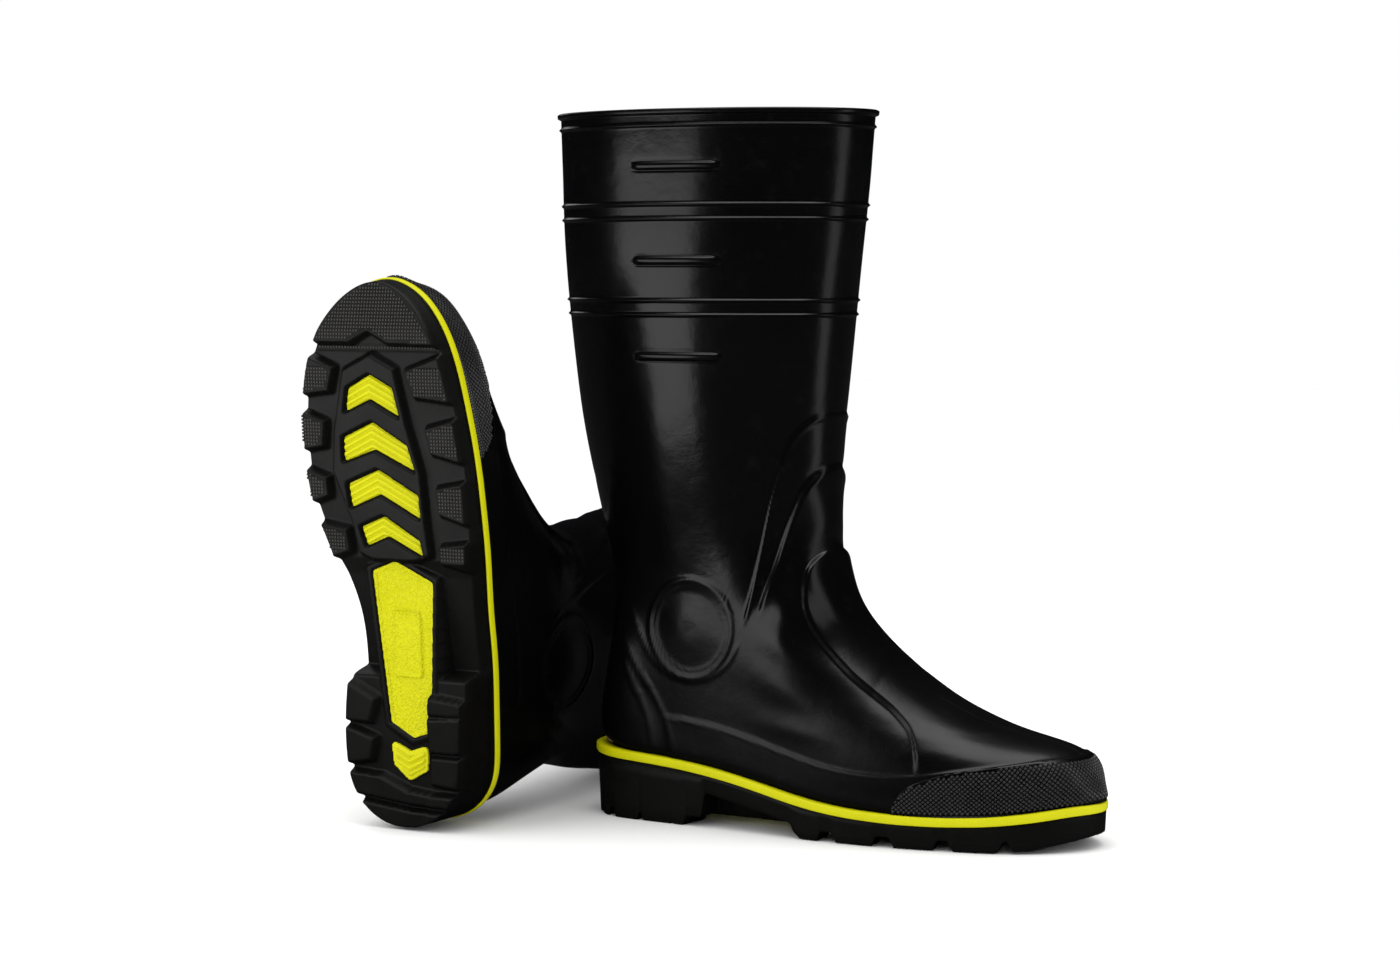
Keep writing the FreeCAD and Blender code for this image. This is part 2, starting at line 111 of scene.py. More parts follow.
WALL = 2.8
LINING_INSET = 3.5
LINING_THICK = 1.1
LINING_DROP = 4.0
HEM_ROWS, HEM_SWELL, HEM_RISE = 3, 1.7, 1.1
KNIT_RIBS = 130
STRIPE_THICK = 4.8
COLUMNS = 312
LEG_STEP = 1.35
FAN_ROWS = 165
FOOT_STEP = 1.4
TOE_ROWS = 46
RIM_ROUND = 0.7
CENTRE_PASSES = 120
FAR, SIDE_FAR = 600.0, 300.0   # where rays start, well outside the boot
RIM_CLEAR, TOE_CLEAR = 0.05, 0.25
RIM_BAND = 24.0         # the top of the leg that is drawn plain before its lip and beads are added
SLOPE_ROWS = 12         # rows over which the leg's slope below that band is taken
ROW_PASSES, COLUMN_PASSES = 24, 8
INNER_STEP = 4          # the inside of the wall keeps every fourth row


def smooth_step(value, low, high):
    u = np.clip((value - low) / (high - low), 0.0, 1.0)
    return u * u * (3 - 2 * u)


def blurred(values, passes, axis, periodic=False):
    """Repeated 1-2-1 smoothing along an axis, with the ends held or wrapped."""
    for _ in range(passes):
        if periodic:
            before, after = np.roll(values, 1, axis), np.roll(values, -1, axis)
        else:
            pad = [(0, 0)] * values.ndim
            pad[axis] = (1, 1)
            wide = np.pad(values, pad, mode="reflect", reflect_type="odd")
            count = values.shape[axis]
            before = np.take(wide, range(0, count), axis)
            after = np.take(wide, range(2, count + 2), axis)
        values = (before + 2 * values + after) / 4
    return values


def blurred_both(table, passes):
    return blurred(blurred(table, passes, 0), passes, 1)


def without_gaps(values, limit):
    """Replaces readings that fell into the thin gaps between CAD nodes by their rows' neighbours."""
    wide = np.pad(values, [(3, 3)] + [(0, 0)] * (values.ndim - 1), mode="edge")
    stack = np.stack([wide[k:k + len(values)] for k in range(7)])
    middle = np.nanmedian(stack, axis=0)
    wrong = np.isnan(values) | (np.abs(values - middle) > limit)
    return np.where(wrong, middle, values)


def unit(vectors):
    return vectors / np.maximum(np.linalg.norm(vectors, axis=-1, keepdims=True), 1e-9)


def running_length(points):
    """Way along a row of points, from the first one."""
    steps = np.linalg.norm(np.diff(points, axis=0), axis=1)
    return np.r_[0.0, np.cumsum(steps)]


def bilinear(table, u, v):
    """Reading of a table between its cells, at row u and column v."""
    i, j = np.int_(u), np.int_(v)
    a, b = u - i, v - j
    return (table[i, j] * (1 - a) * (1 - b) + table[i + 1, j] * a * (1 - b)
            + table[i, j + 1] * (1 - a) * b + table[i + 1, j + 1] * a * b)


# ---------------- the upper as a grid of sections

TIP_Y = float(max((v.co.x, v.co.y) for v in frame["nodes"]["right_foot_shell"].data.vertices)[1] / MM)
TURN_START = 130.0      # the foot's middle line is straight up to here
FAN_AHEAD, FAN_ABOVE = 110.0, 80.0   # where the fan of sections turns, from the ankle's hinge
TOE_LENGTH = 60.0


def foot_middle(x, end):
    """Y of the foot's middle line, which turns to reach the tip's side at end."""
    return TIP_Y * smooth_step(x, TURN_START, end)


def section_planes():
    """Pivot points and front directions of the sections, from the rim to the toe."""
    pivot_x, pivot_z = ANKLE[0] + FAN_AHEAD, ANKLE[2] + FAN_ABOVE
    toe_start = TOE_X - TOE_LENGTH
    planes = []
    leg_rows = int((RIM_LEVEL - pivot_z) / LEG_STEP)
    for k in range(leg_rows):
        z = RIM_LEVEL - RIM_CLEAR - (RIM_LEVEL - pivot_z) * k / leg_rows
        planes.append(((pivot_x, 0.0, z), (1.0, 0.0, 0.0)))
    for k in range(FAN_ROWS):
        angle = math.pi / 2 * k / FAN_ROWS
        planes.append(((pivot_x, 0.0, pivot_z), (math.cos(angle), 0.0, math.sin(angle))))
    foot_rows = int((toe_start - pivot_x) / FOOT_STEP)
    stations = [pivot_x + (toe_start - pivot_x) * k / foot_rows for k in range(foot_rows)]
    reach = TOE_X - TOE_CLEAR - toe_start
    stations += [toe_start + reach * math.sin(math.pi / 2 * k / TOE_ROWS) for k in range(TOE_ROWS + 1)]
    for x in stations:
        planes.append(((x, float(foot_middle(x, TOE_X)), pivot_z), (0.0, 0.0, 1.0)))
    return (np.array(part) for part in zip(*planes))


def section_frames(pivots, fronts):
    """Centre and half sizes of each section, found by rays from in front, behind and both sides."""
    rows = []
    for pivot, front in zip(pivots, fronts):
        near = cast(UPPER_TREE, pivot, -front)
        far = FAR - cast(UPPER_TREE, pivot - FAR * front, front)
        rows.append((near, far))
    near, far = without_gaps(np.array(rows), 2.0).T
    centres = pivots - fronts * ((near + far) / 2)[:, None]
    sides = []
    for centre in centres:
        left = SIDE_FAR - cast(UPPER_TREE, centre + (0, SIDE_FAR, 0), (0, -1, 0))
        right = SIDE_FAR - cast(UPPER_TREE, centre - (0, SIDE_FAR, 0), (0, 1, 0))
        sides.append((left, right))
    left, right = without_gaps(np.array(sides), 2.0).T
    centres[:, 1] += (left - right) / 2
    parts = (centres, (far - near) / 2, (left + right) / 2)
    return [blurred(part, CENTRE_PASSES, 0) for part in parts]


def upper_grid():
    """Outer skin of the upper: rows from rim to toe, columns from the front round the lateral side."""
    pivots, fronts = section_planes()
    centres, lengths, widths = section_frames(pivots, fronts)
    turn = 2 * math.pi * np.arange(COLUMNS) / COLUMNS
    along = lengths[:, None] * np.cos(turn)
    across = -widths[:, None] * np.sin(turn)
    size = np.hypot(along, across)
    rays = fronts[:, None, :] * (along / size)[..., None]
    rays[..., 1] += across / size
    reach = 320.0
    radii = np.empty(rays.shape[:2])
    for i in range(len(fronts)):
        for j in range(COLUMNS):
            ray = rays[i, j]
            radii[i, j] = reach - cast(UPPER_TREE, centres[i] + ray * reach, -ray, reach)
    radii = without_gaps(without_gaps(radii, 1.2), 0.25)
    radii = blurred(radii, ROW_PASSES, 0)
    radii = blurred(radii, COLUMN_PASSES, 1, periodic=True)
    grid = centres[:, None, :] + rays * radii[..., None]
    # the band under the rim runs straight on from the leg below it
    plain = int((grid[:, 0, 2] > RIM_LEVEL - RIM_BAND).sum())
    slope = (grid[plain + SLOPE_ROWS] - grid[plain]) / SLOPE_ROWS
    rows = np.arange(plain)[:, None, None]
    grid[:plain, :, :2] = (grid[plain] - slope * (plain - rows))[..., :2]
    return grid, rays


def finer_rows(grid):
    """Row numbers, with more of them where a ring, a bar or the lip of the rim crosses the leg."""
    marks = [RIM_LEVEL - drop for drop in RING_DROPS + BAR_DROPS + (RIM_LIP,)]
    numbers = [0.0]
    for row, level in enumerate(grid[1:-1, 0, 2], 1):
        parts = FINE_PARTS if min(abs(level - mark) for mark in marks) < FINE_REACH else 1
        numbers += [row + part / parts for part in range(parts)]
    return np.array(numbers + [len(grid) - 1.0])


def at_rows(values, numbers):
    """Rows of a grid at row numbers that may lie between two rows."""
    before = np.minimum(numbers.astype(int), len(values) - 2)
    share = (numbers - before)[:, None, None]
    return values[before] * (1 - share) + values[before + 1] * share


def grid_normals(grid, outward):
    along = np.gradient(grid, axis=0)
    around = (np.roll(grid, -1, 1) - np.roll(grid, 1, 1)) / 2
    normals = unit(np.cross(along, around))
    return np.where((normals * outward).sum(2, keepdims=True) < 0, -normals, normals)


# ---------------- moulded lines of the upper

RING_DROPS = (9.0, 51.8, 59.6, 104.0, 111.8)   # below the rim
RING_HEIGHT, RING_WIDTH = 1.25, 0.8
RIM_LIP = 3.7
LIP_HEIGHT = 1.9
FINE_PARTS = 3
FINE_REACH = 4.2
BAR_DROPS = (30.8, 82.2, 134.6)
BAR_LENGTH, BAR_HEIGHT, BAR_RISE = 50.0, 4.4, 1.5
DISC_RADIUS = 27.0
DISC_X = ANKLE[0] + 2.0     # middle of the discs and of the bars

# Moulded lines in side view, as (X, Z) points.
SHIN_LINE = [(156, 229), (149, 228), (143, 226), (135, 216), (129.5, 200), (125, 184), (121, 165),
             (117, 141), (112, 112)]
FLEX_LINE = [(150, 205), (144, 197), (138, 188), (134, 177), (130.5, 165), (126.5, 148), (120, 118)]
INSTEP_LINE = [(152, 160), (145.5, 153), (142, 145), (142, 132.5), (146.5, 119), (155, 106),
               (170, 91.5), (184, 81), (200, 70), (211, 60), (216.5, 48), (217, 38)]
STRAP_LINE = [(8, 150), (17, 144), (26, 133.5), (36, 119), (44.5, 103), (52, 92), (63, 84), (77, 81),
              (91, 84), (103, 93), (110, 106)]
COUNTER_LINES = [
    [(20, 118), (26, 109), (33, 100), (42.5, 85), (54, 70), (61.5, 56), (68, 34)],
    [(31, 92), (37, 81), (46, 65), (51, 52), (55, 36)],
]
FOXING_LINE = [(40, 61.0), (61, 60), (83, 58.5), (112, 53.5), (138, 47), (165, 41), (191, 38.5),
               (217, 39.5), (240, 43), (266, 46.5), (282, 48.5), (310, 49)]
FOXING_START = 61.0


def smooth_line(points, step=1.5):
    """Catmull-Rom curve through points, sampled about every step."""
    points = np.array(points, float)
    ends = np.vstack([2 * points[0] - points[1], points, 2 * points[-1] - points[-2]])
    samples = []
    for a, b, c, d in zip(ends, ends[1:], ends[2:], ends[3:]):
        count = max(2, int(np.linalg.norm(c - b) / step))
        u = (np.arange(count) / count)[:, None]
        samples.append(0.5 * (2 * b + (c - a) * u + (2 * a - 5 * b + 4 * c - d) * u ** 2
                              + (3 * b - a - 3 * c + d) * u ** 3))
    return np.vstack(samples + [points[-1:]])


def line_distance(places, line):
    """Signed distance of side-view places to a line (positive on its left), and the way along it."""
    best = np.full(len(places), np.inf)
    signed, way = np.zeros(len(places)), np.zeros(len(places))
    travelled = 0.0
    for start, end in zip(line, line[1:]):
        run = end - start
        length = max(np.hypot(*run), 1e-9)
        offset = places - start
        share = np.clip(offset @ run / length ** 2, 0, 1)
        gap = offset - share[:, None] * run
        distance = np.hypot(gap[:, 0], gap[:, 1])
        nearer = distance < best
        side = np.sign(run[0] * offset[:, 1] - run[1] * offset[:, 0])
        best = np.where(nearer, distance, best)
        signed = np.where(nearer, distance * side, signed)
        way = np.where(nearer, travelled + share * length, way)
        travelled += length
    return signed, way, travelled


def faded(way, total, fade):
    return smooth_step(way, 0.0, fade) * smooth_step(total - way, 0.0, fade)


def lip(places, points, height, reach, soft=1.0):
    """Crisp edge that stands up on its left side and fades away there, with a groove on its right."""
    signed, way, total = line_distance(places, smooth_line(points))
    edge = smooth_step(signed, -soft, soft)
    up = height * np.exp(-np.maximum(signed, 0) / reach)
    down = -0.55 * height * np.exp(np.minimum(signed, 0) / (0.45 * reach))
    near = np.abs(signed) < 6 * reach
    return np.where(near, (edge * up + (1 - edge) * down) * faded(way, total, 12.0), 0.0)


def bead(distance, height, width):
    return height * np.exp(-(distance / width) ** 2)


def thin_ridge(places, points, height=0.6, width=0.9):
    signed, way, total = line_distance(places, smooth_line(points))
    return bead(signed, height, width) * faded(way, total, 8.0)


def raised_bar(x, z, middle_x, middle_z):
    """Half-round bar with a fine groove round it."""
    half = (BAR_LENGTH - BAR_HEIGHT) / 2
    along = np.maximum(np.abs(x - middle_x) - half, 0)
    distance = np.hypot(along, z - middle_z)
    rod = np.sqrt(np.maximum(1 - (2 * distance / BAR_HEIGHT) ** 2, 0))
    return BAR_RISE * rod - bead(distance - BAR_HEIGHT / 2 - 0.5, 0.35, 0.6)


def upper_detail(grid):
    """Height of the moulded lines over the plain skin, at every grid point."""
    x, y, z = (grid[..., k] for k in range(3))
    height = np.zeros(x.shape)
    for drop in RING_DROPS:
        height += bead(z - (RIM_LEVEL - drop), RING_HEIGHT, RING_WIDTH)
    height += LIP_HEIGHT * smooth_step(z, RIM_LEVEL - RIM_LIP, RIM_LEVEL - RIM_LIP + 1.3)
    side = smooth_step(np.abs(y), 20.0, 30.0)
    for drop in BAR_DROPS:
        height += raised_bar(x, z, DISC_X, RIM_LEVEL - drop) * side
    low = z < ANKLE[2] + 130.0
    places = np.stack([x[low], z[low]], axis=1)
    radius = np.hypot(places[:, 0] - DISC_X, places[:, 1] - ANKLE[2])
    lines = bead(radius - DISC_RADIUS, 0.85, 1.15) + bead(radius - DISC_RADIUS + 3.4, 0.35, 1.0)
    lines += 0.8 * smooth_step(DISC_RADIUS - 3 - radius, 0.0, 20.0)
    folds = thin_ridge(places, SHIN_LINE, 0.9, 0.95) + lip(places, SHIN_LINE, 0.6, 12.0)
    folds += lip(places, FLEX_LINE, 2.1, 9.0, 1.5)
    folds += lip(places, INSTEP_LINE, 1.9, 11.0, 1.2)
    lines += folds * (0.4 + 0.6 * smooth_step(np.abs(y[low]), 2.0, 20.0))
    lines += thin_ridge(places, STRAP_LINE, 0.65, 0.9)
    for points in COUNTER_LINES:
        lines += thin_ridge(places, points, 0.75, 1.0)
    foxing = smooth_line(FOXING_LINE)
    under = np.interp(places[:, 0], foxing[:, 0], foxing[:, 1]) - places[:, 1]
    begun = smooth_step(places[:, 0], FOXING_START - 3.0, FOXING_START + 6.0)
    lines += begun * (0.8 * smooth_step(under, -0.8, 0.8) + bead(under, 0.35, 0.9))
    # the parting line down the middle of the vamp
    along_vamp = smooth_step(places[:, 0], 196.0, 215.0) * smooth_step(places[:, 1], 45.0, 50.0)
    lines += along_vamp * bead(y[low] - foot_middle(places[:, 0], TOE_X), 0.35, 0.7)
    height[low] += lines
    return height


# ---------------- meshes


BLOCK_FACES = ((3, 2, 1, 0), (4, 5, 6, 7), (0, 1, 5, 4), (1, 2, 6, 5), (2, 3, 7, 6), (3, 0, 4, 7))


class Surface:
    """Vertices (mm) and faces of a piece, drawn on the right boot."""

    def __init__(self):
        self.points = np.zeros((0, 3))
        self.faces = []
        self.values = {}
        self.flat_from = None   # number of the first point whose faces are shaded flat

    def add_points(self, points):
        first = len(self.points)
        self.points = np.vstack([self.points, np.reshape(points, (-1, 3))])
        return first

    def add_ring(self, points):
        return self.add_points(points) + np.arange(len(points))

    def add_grid(self, grid, wrap=False, flip=False):
        """Quads over a grid of rows and columns; wrap joins the last column to the first."""
        rows, columns = grid.shape[:2]
        first = self.add_points(grid)
        index = first + np.arange(rows * columns).reshape(rows, columns)
        after = np.roll(index, -1, 1) if wrap else index[:, 1:]
        before = index if wrap else index[:, :-1]
        quads = np.stack([before[:-1], before[1:], after[1:], after[:-1]], axis=-1).reshape(-1, 4)
        self.faces += [quads[:, ::-1] if flip else quads]
        return index

    def bridge(self, ring_a, ring_b, wrap=True, flip=False):
        """Quads between two rows of vertex numbers of the same length."""
        a_next = np.roll(ring_a, -1) if wrap else ring_a[1:]
        b_next = np.roll(ring_b, -1) if wrap else ring_b[1:]
        a, b = (ring_a, ring_b) if wrap else (ring_a[:-1], ring_b[:-1])
        quads = np.stack([a, b, b_next, a_next], axis=-1)
        self.faces += [quads[:, ::-1] if flip else quads]

    def fan(self, ring, centre, flip=False):
        """Triangles from a closed ring of vertex numbers to a new centre point."""
        middle = self.add_points(centre)
        after = np.roll(ring, -1)
        tris = np.stack([ring, np.full(len(ring), middle), after], axis=-1)
        self.faces += [tris[:, ::-1] if flip else tris]

    def add_blocks(self, corners, painted_highlight):
        """Small flat-faced blocks of eight corners each; the last argument gives the painted highlight
        that lightens the four corners of each end.
        """
        self.flat_from = self.add_points(corners)
        count = len(corners) // 8
        starts = self.flat_from + 8 * np.arange(count)[:, None, None]
        self.faces.append((starts + np.array(BLOCK_FACES)).reshape(-1, 4))
        self.values["painted_highlight"] = np.r_[np.zeros(self.flat_from), np.tile(np.repeat(painted_highlight, 4), count)]


LEFT_ANKLE = joint_point("left_ankle_flex")
LEFT_TOE_HINGE = joint_point("left_footbed_lift")


def to_left(points):
    """Mirror image of the right boot's points, laid where the left boot's joints are."""
    right = complex(TOE_HINGE[0] - ANKLE[0], TOE_HINGE[2] - ANKLE[2])
    left = complex(LEFT_TOE_HINGE[2] - LEFT_ANKLE[2], LEFT_TOE_HINGE[1] - LEFT_ANKLE[1])
    turned = (points[:, 0] - ANKLE[0] + 1j * (points[:, 2] - ANKLE[2])) * (left / right)
    across = LEFT_ANKLE[0] - points[:, 1]
    return np.stack([across, LEFT_ANKLE[1] + turned.imag, LEFT_ANKLE[2] + turned.real], axis=1)


def placed(name, data):
    obj = bpy.data.objects.new(name, data)
    bpy.context.scene.collection.objects.link(obj)
    return obj


def make_object(name, surface, material, side, smooth=True):
    """Blender object of a surface for one boot, in metres."""
    points = surface.points if side == "right" else to_left(surface.points)
    faces = [f if side == "right" else f[:, ::-1] for f in surface.faces]
    mesh = bpy.data.meshes.new(name)
    mesh.vertices.add(len(points))
    mesh.vertices.foreach_set("co", (points * MM).astype(np.float32).ravel())
    corners = np.concatenate([f.ravel() for f in faces])
    totals = np.concatenate([np.full(len(f), f.shape[1]) for f in faces])
    mesh.loops.add(len(corners))
    mesh.loops.foreach_set("vertex_index", corners.astype(np.int32))
    mesh.polygons.add(len(totals))
    starts = np.r_[0, np.cumsum(totals)[:-1]]
    mesh.polygons.foreach_set("loop_start", starts.astype(np.int32))
    smoothness = np.full(len(totals), smooth)
    if surface.flat_from is not None:
        smoothness &= np.concatenate([f[:, 0] for f in faces]) < surface.flat_from
    mesh.polygons.foreach_set("use_smooth", smoothness)
    mesh.update(calc_edges=True)
    for key, values in surface.values.items():
        attribute = mesh.attributes.new(key, "FLOAT", "POINT")
        attribute.data.foreach_set("value", np.asarray(values, np.float32))
    mesh.validate()
    mesh.materials.append(material)
    return placed(name, mesh)


def upper_surface(skin, normals, detail):
    """Closed shell of the moulded upper: detailed outside, plain inside and a rounded rim."""
    outer = skin + normals * detail[..., None]
    outer[0, :, 2] = RIM_LEVEL - RIM_ROUND
    shell = Surface()
    outside = shell.add_grid(outer, wrap=True)
    shell.fan(outside[-1], outer[-1].mean(0))
    rim_out, rim_in = outer[0], skin[0] - normals[0] * WALL
    inner = (skin - normals * WALL)[::INNER_STEP].copy()
    inner[0] = rim_in
    inner[0, :, 2] = RIM_LEVEL - RIM_ROUND
    inside = shell.add_grid(inner, wrap=True, flip=True)
    shell.fan(inside[-1], inner[-1].mean(0), flip=True)
    previous = outside[0]
    for share in (0.2, 0.5, 0.8):
        ring = rim_out + (rim_in - rim_out) * share
        ring[:, 2] = RIM_LEVEL - RIM_ROUND + RIM_ROUND * math.sin(math.pi * (0.25 + 0.5 * share))
        index = shell.add_ring(ring)
        shell.bridge(previous, index, flip=True)
        previous = index
    shell.bridge(previous, inside[0], flip=True)
    shell.values["satin"] = smooth_step(ANKLE[2] + 25.0 - shell.points[:, 2], 0.0, 70.0)
    return shell


def lining_surface(skin, normals):
    """Closed knitted sock just inside the wall, with a soft rolled hem below the rim."""
    first = int(np.argmax(skin[:, 0, 2] < RIM_LEVEL - LINING_DROP))
    rows = np.arange(first, len(skin) - 3, 2)
    outer = (skin - normals * LINING_INSET)[rows][:, ::2]
    inner = (skin - normals * (LINING_INSET + LINING_THICK))[rows][:, ::2]
    inner[:HEM_ROWS] = outer[:HEM_ROWS] + (inner[:HEM_ROWS] - outer[:HEM_ROWS]) * HEM_SWELL
    sock = Surface()
    outside = sock.add_grid(outer, wrap=True)
    inside = sock.add_grid(inner, wrap=True, flip=True)
    crown = sock.add_ring((outer[0] + inner[0]) / 2 + (0.0, 0.0, HEM_RISE))
    sock.bridge(outside[0], crown, flip=True)
    sock.bridge(crown, inside[0], flip=True)
    sock.fan(outside[-1], outer[-1].mean(0))
    sock.fan(inside[-1], inner[-1].mean(0), flip=True)
    columns = outer.shape[1]
    around = np.tile(np.arange(columns) * 2 * math.pi * KNIT_RIBS / columns, len(rows))
    down = np.repeat(running_length(outer[:, 0]), columns)
    spare = np.zeros(len(sock.points) - 2 * len(around))
    sock.values["around"] = np.concatenate([around, around, spare])
    sock.values["down"] = np.concatenate([down, down, spare])
    return sock


# ---------------- plan of the sole

PLAN_STEP = 0.6
ACROSS_HALF = 76
HEEL_SPINE, TOE_SPINE = 44.0, 240.0
SOLE_MARGIN = 8.0
POCKET_END, POCKET_SIDE = 80.0, -32.0   # X where the heel pad's pocket ends, and a Y beside it
LINE_STEP = 2.0
LEVEL_ROUNDS = 4        # the stripe's level and the rim's place depend on each other


def sole_line(x):
    """Level of the stripe's underside at X, beside the heel pad's pocket."""
    x = min(max(x, SOLE_MARGIN), SOLE_END - SOLE_MARGIN)
    y = POCKET_SIDE if SOLE_MARGIN < x < POCKET_END else 0.0
    top = 100.0 - cast(MIDSOLE_TREE, (x, y, 100.0), (0, 0, -1))
    return top - STRIPE_THICK


LINE_X = np.arange(-10.0, SOLE_END + 10.0, LINE_STEP)
LINE_Z = blurred(without_gaps(np.array([sole_line(x) for x in LINE_X]), 1.0), 4, 0)


def line_level(x):
    return np.interp(x, LINE_X, LINE_Z)


def plan_pairs():
    """Spine points of the sole and its lateral and medial rim points, from heel tip to toe tip."""
    heel_arc = math.pi / 2 * HEEL_SPINE
    toe_arc = math.pi / 2 * (SOLE_END - TOE_SPINE)
    heel_count, toe_count = int(heel_arc / PLAN_STEP), int(toe_arc / PLAN_STEP)
    straight = int((TOE_SPINE - HEEL_SPINE) / PLAN_STEP)
    spines = [HEEL_SPINE] * heel_count
    spines += [HEEL_SPINE + (TOE_SPINE - HEEL_SPINE) * k / straight for k in range(straight)]
    spines += [TOE_SPINE] * (toe_count + 1)
    angles = [math.pi - math.pi / 2 * k / heel_count for k in range(heel_count)]
    angles += [math.pi / 2] * straight
    angles += [math.pi / 2 * (1 - k / toe_count) for k in range(toe_count + 1)]
    rim = []
    for spine, angle in zip(spines, angles):
        centre_y = float(foot_middle(spine, TOE_SPINE))
        for side in (-1, 1):
            direction = np.array((math.cos(angle), side * math.sin(angle), 0.0))
            place = np.array((spine, centre_y, 0.0)) + direction * HEEL_SPINE
            reach = 140.0
            for _ in range(LEVEL_ROUNDS):
                centre = np.array((spine, centre_y, line_level(place[0]) + 0.6 * STRIPE_THICK))
                gap = cast(MIDSOLE_TREE, centre + direction * reach, -direction, reach)
                place = centre + direction * (reach - gap)
            rim.append(place)
    rim = np.array(rim).reshape(-1, 2, 3)
    spines = np.array(spines)
    return np.stack([spines, foot_middle(spines, TOE_SPINE)], axis=1), rim[:, :, :2]


SPINE, RIM = plan_pairs()
LOOP = np.concatenate([RIM[:, 0], RIM[-2:0:-1, 1]])   # once round, down the lateral side first
LOOP_SPINE = np.concatenate([SPINE, SPINE[-2:0:-1]])
LOOP = blurred(LOOP, 6, 0, periodic=True)


def loop_normals():
    along = np.roll(LOOP, -1, 0) - np.roll(LOOP, 1, 0)
    normals = unit(np.stack([-along[:, 1], along[:, 0]], axis=1))
    inward = ((LOOP - LOOP_SPINE) * normals).sum(1) < 0
    normals[inward] *= -1
    return blurred(normals, 4, 0, periodic=True)


LOOP_NORMALS = loop_normals()
STRIPE_STEP = 0.8   # the stripe stands out past the outsole by this


def inset_loop(inset):
    """Places once round the sole, moved inward from the stripe's face."""
    return LOOP - LOOP_NORMALS * np.reshape(inset, (-1, 1))


def plan_sheet(inset, count):
    """Rows of places across the plan, from the lateral rim over the spine to the medial rim."""
    loop = inset_loop(inset)
    lateral = loop[:len(SPINE)]
    medial = np.concatenate([loop[:1], loop[:len(SPINE) - 2:-1]])
    share = np.linspace(0, 1, count + 1)[:, None, None]
    outward = lateral + (SPINE - lateral) * share
    inward = SPINE + (medial - SPINE) * share[1:]
    return np.concatenate([outward, inward]).swapaxes(0, 1)


# ---------------- tread

RASTER = 0.5
RAY_START = -20.0
DRAFT_SLOPE = 2.7
DRAFT_REACH = 2.2
POCKET_DEPTH = 3.5
WINDOW_CEILING = 7.5
CARRY_CELLS = 10        # how far the rim's heights are carried past the edge of the plan
OFF_PLAN = 30.0


def neighbours(table):
    return [np.roll(table, shift, axis) for shift, axis in ((1, 0), (-1, 0), (1, 1), (-1, 1))]


def grown(marked):
    return np.logical_or.reduce([marked] + neighbours(marked))


def shrunk(marked):
    return np.logical_and.reduce([marked] + neighbours(marked))


def widest(table, steps, pick):
    """Largest or smallest value of a table in the square of cells round each cell."""
    for axis in (0, 1):
        table = pick([np.roll(table, k, axis) for k in range(-steps, steps + 1)], axis=0)
    return table


def tread_raster():
    """Heights of the black tread and of the yellow inserts on a square raster, with the window mask."""
    low = np.floor(MIDSOLE_BOX[0][:2]) - 3.0
    high = np.ceil(MIDSOLE_BOX[1][:2]) + 3.0
    xs = np.arange(low[0], high[0], RASTER)
    ys = np.arange(low[1], high[1], RASTER)
    black, yellow = np.empty((2, len(xs), len(ys)))
    for i, x in enumerate(xs):
        for j, y in enumerate(ys):
            black[i, j] = RAY_START + cast(OUTSOLE_TREE, (x, y, RAY_START), (0, 0, 1))
            yellow[i, j] = RAY_START + cast(MIDSOLE_TREE, (x, y, RAY_START), (0, 0, 1))
    window = (yellow < WINDOW_CEILING) & ~(black < yellow)
    black[window] = yellow[window] + POCKET_DEPTH
    seen = ~np.isnan(black)
    for _ in range(CARRY_CELLS):
        total = sum(neighbours(np.where(seen, black, 0.0)))
        count = sum(cells.astype(int) for cells in neighbours(seen))
        grow = ~seen & (count > 0)
        black[grow] = total[grow] / count[grow]
        seen |= grow
    black[~seen] = OFF_PLAN
    return SimpleNamespace(xs=xs, ys=ys, black=black, yellow=yellow, window=window)


def drafted(heights):
    """Sloping walls: every block widens as it goes up."""
    steps = int(DRAFT_REACH / RASTER)
    result = heights.copy()
    for a in range(-steps, steps + 1):
        for b in range(-steps, steps + 1):
            away = math.hypot(a, b) * RASTER
            if 0 < away <= DRAFT_REACH:
                result = np.minimum(result, np.roll(heights, (a, b), (0, 1)) + DRAFT_SLOPE * away)
    return blurred_both(result, 2)


def sampled(raster, table, places):
    """Reading of one of the raster's tables at places."""
    u = np.clip((places[..., 0] - raster.xs[0]) / RASTER, 0, len(raster.xs) - 1.001)
    v = np.clip((places[..., 1] - raster.ys[0]) / RASTER, 0, len(raster.ys) - 1.001)
    return bilinear(table, u, v)


KNURL_START = 146.0
KNURL_DEPTH = 0.5
TOE_LUG_START = TOE_SPINE + 24.0
GROUND_REACH = 10       # rows on each side among which the ground's level is sought
FLAT_REACH, EDGE_REACH = 3, 5
FLAT_BLOCK, FLAT_TOE = 0.4, 1.3   # the largest rise within a studded face
STUD_PITCH = 1.9
STUD_BASE, STUD_TOP = 0.72, 0.42   # half widths
STUD_SUNK = 0.5
SQUARE = ((-1, -1), (1, -1), (1, 1), (-1, 1))
SIDE_TAPER = 1.6
TOE_TAPER = 0.6
EDGE_ROUND = 0.8


def knurl_cells(raster):
    """Cells of the raster on the flat tops of the forefoot's blocks, away from their edges."""
    black, on_plan = raster.black, ~np.isnan(raster.yellow)
    ground = np.where(on_plan, black, np.inf).min(1)
    wide = np.pad(ground, GROUND_REACH, mode="edge")
    lowest = np.min([wide[k:k + len(ground)] for k in range(2 * GROUND_REACH + 1)], axis=0)
    toe = raster.xs > TOE_LUG_START
    lowest = np.where(toe, ground, lowest)
    rise = widest(black, FLAT_REACH, np.max) - widest(black, FLAT_REACH, np.min)
    flat = rise < np.where(toe, FLAT_TOE, FLAT_BLOCK)[:, None]
    inside = widest(on_plan, EDGE_REACH, np.min)
    forefoot = raster.xs > KNURL_START
    return flat & inside & (black < lowest[:, None] + 0.3) & forefoot[:, None]


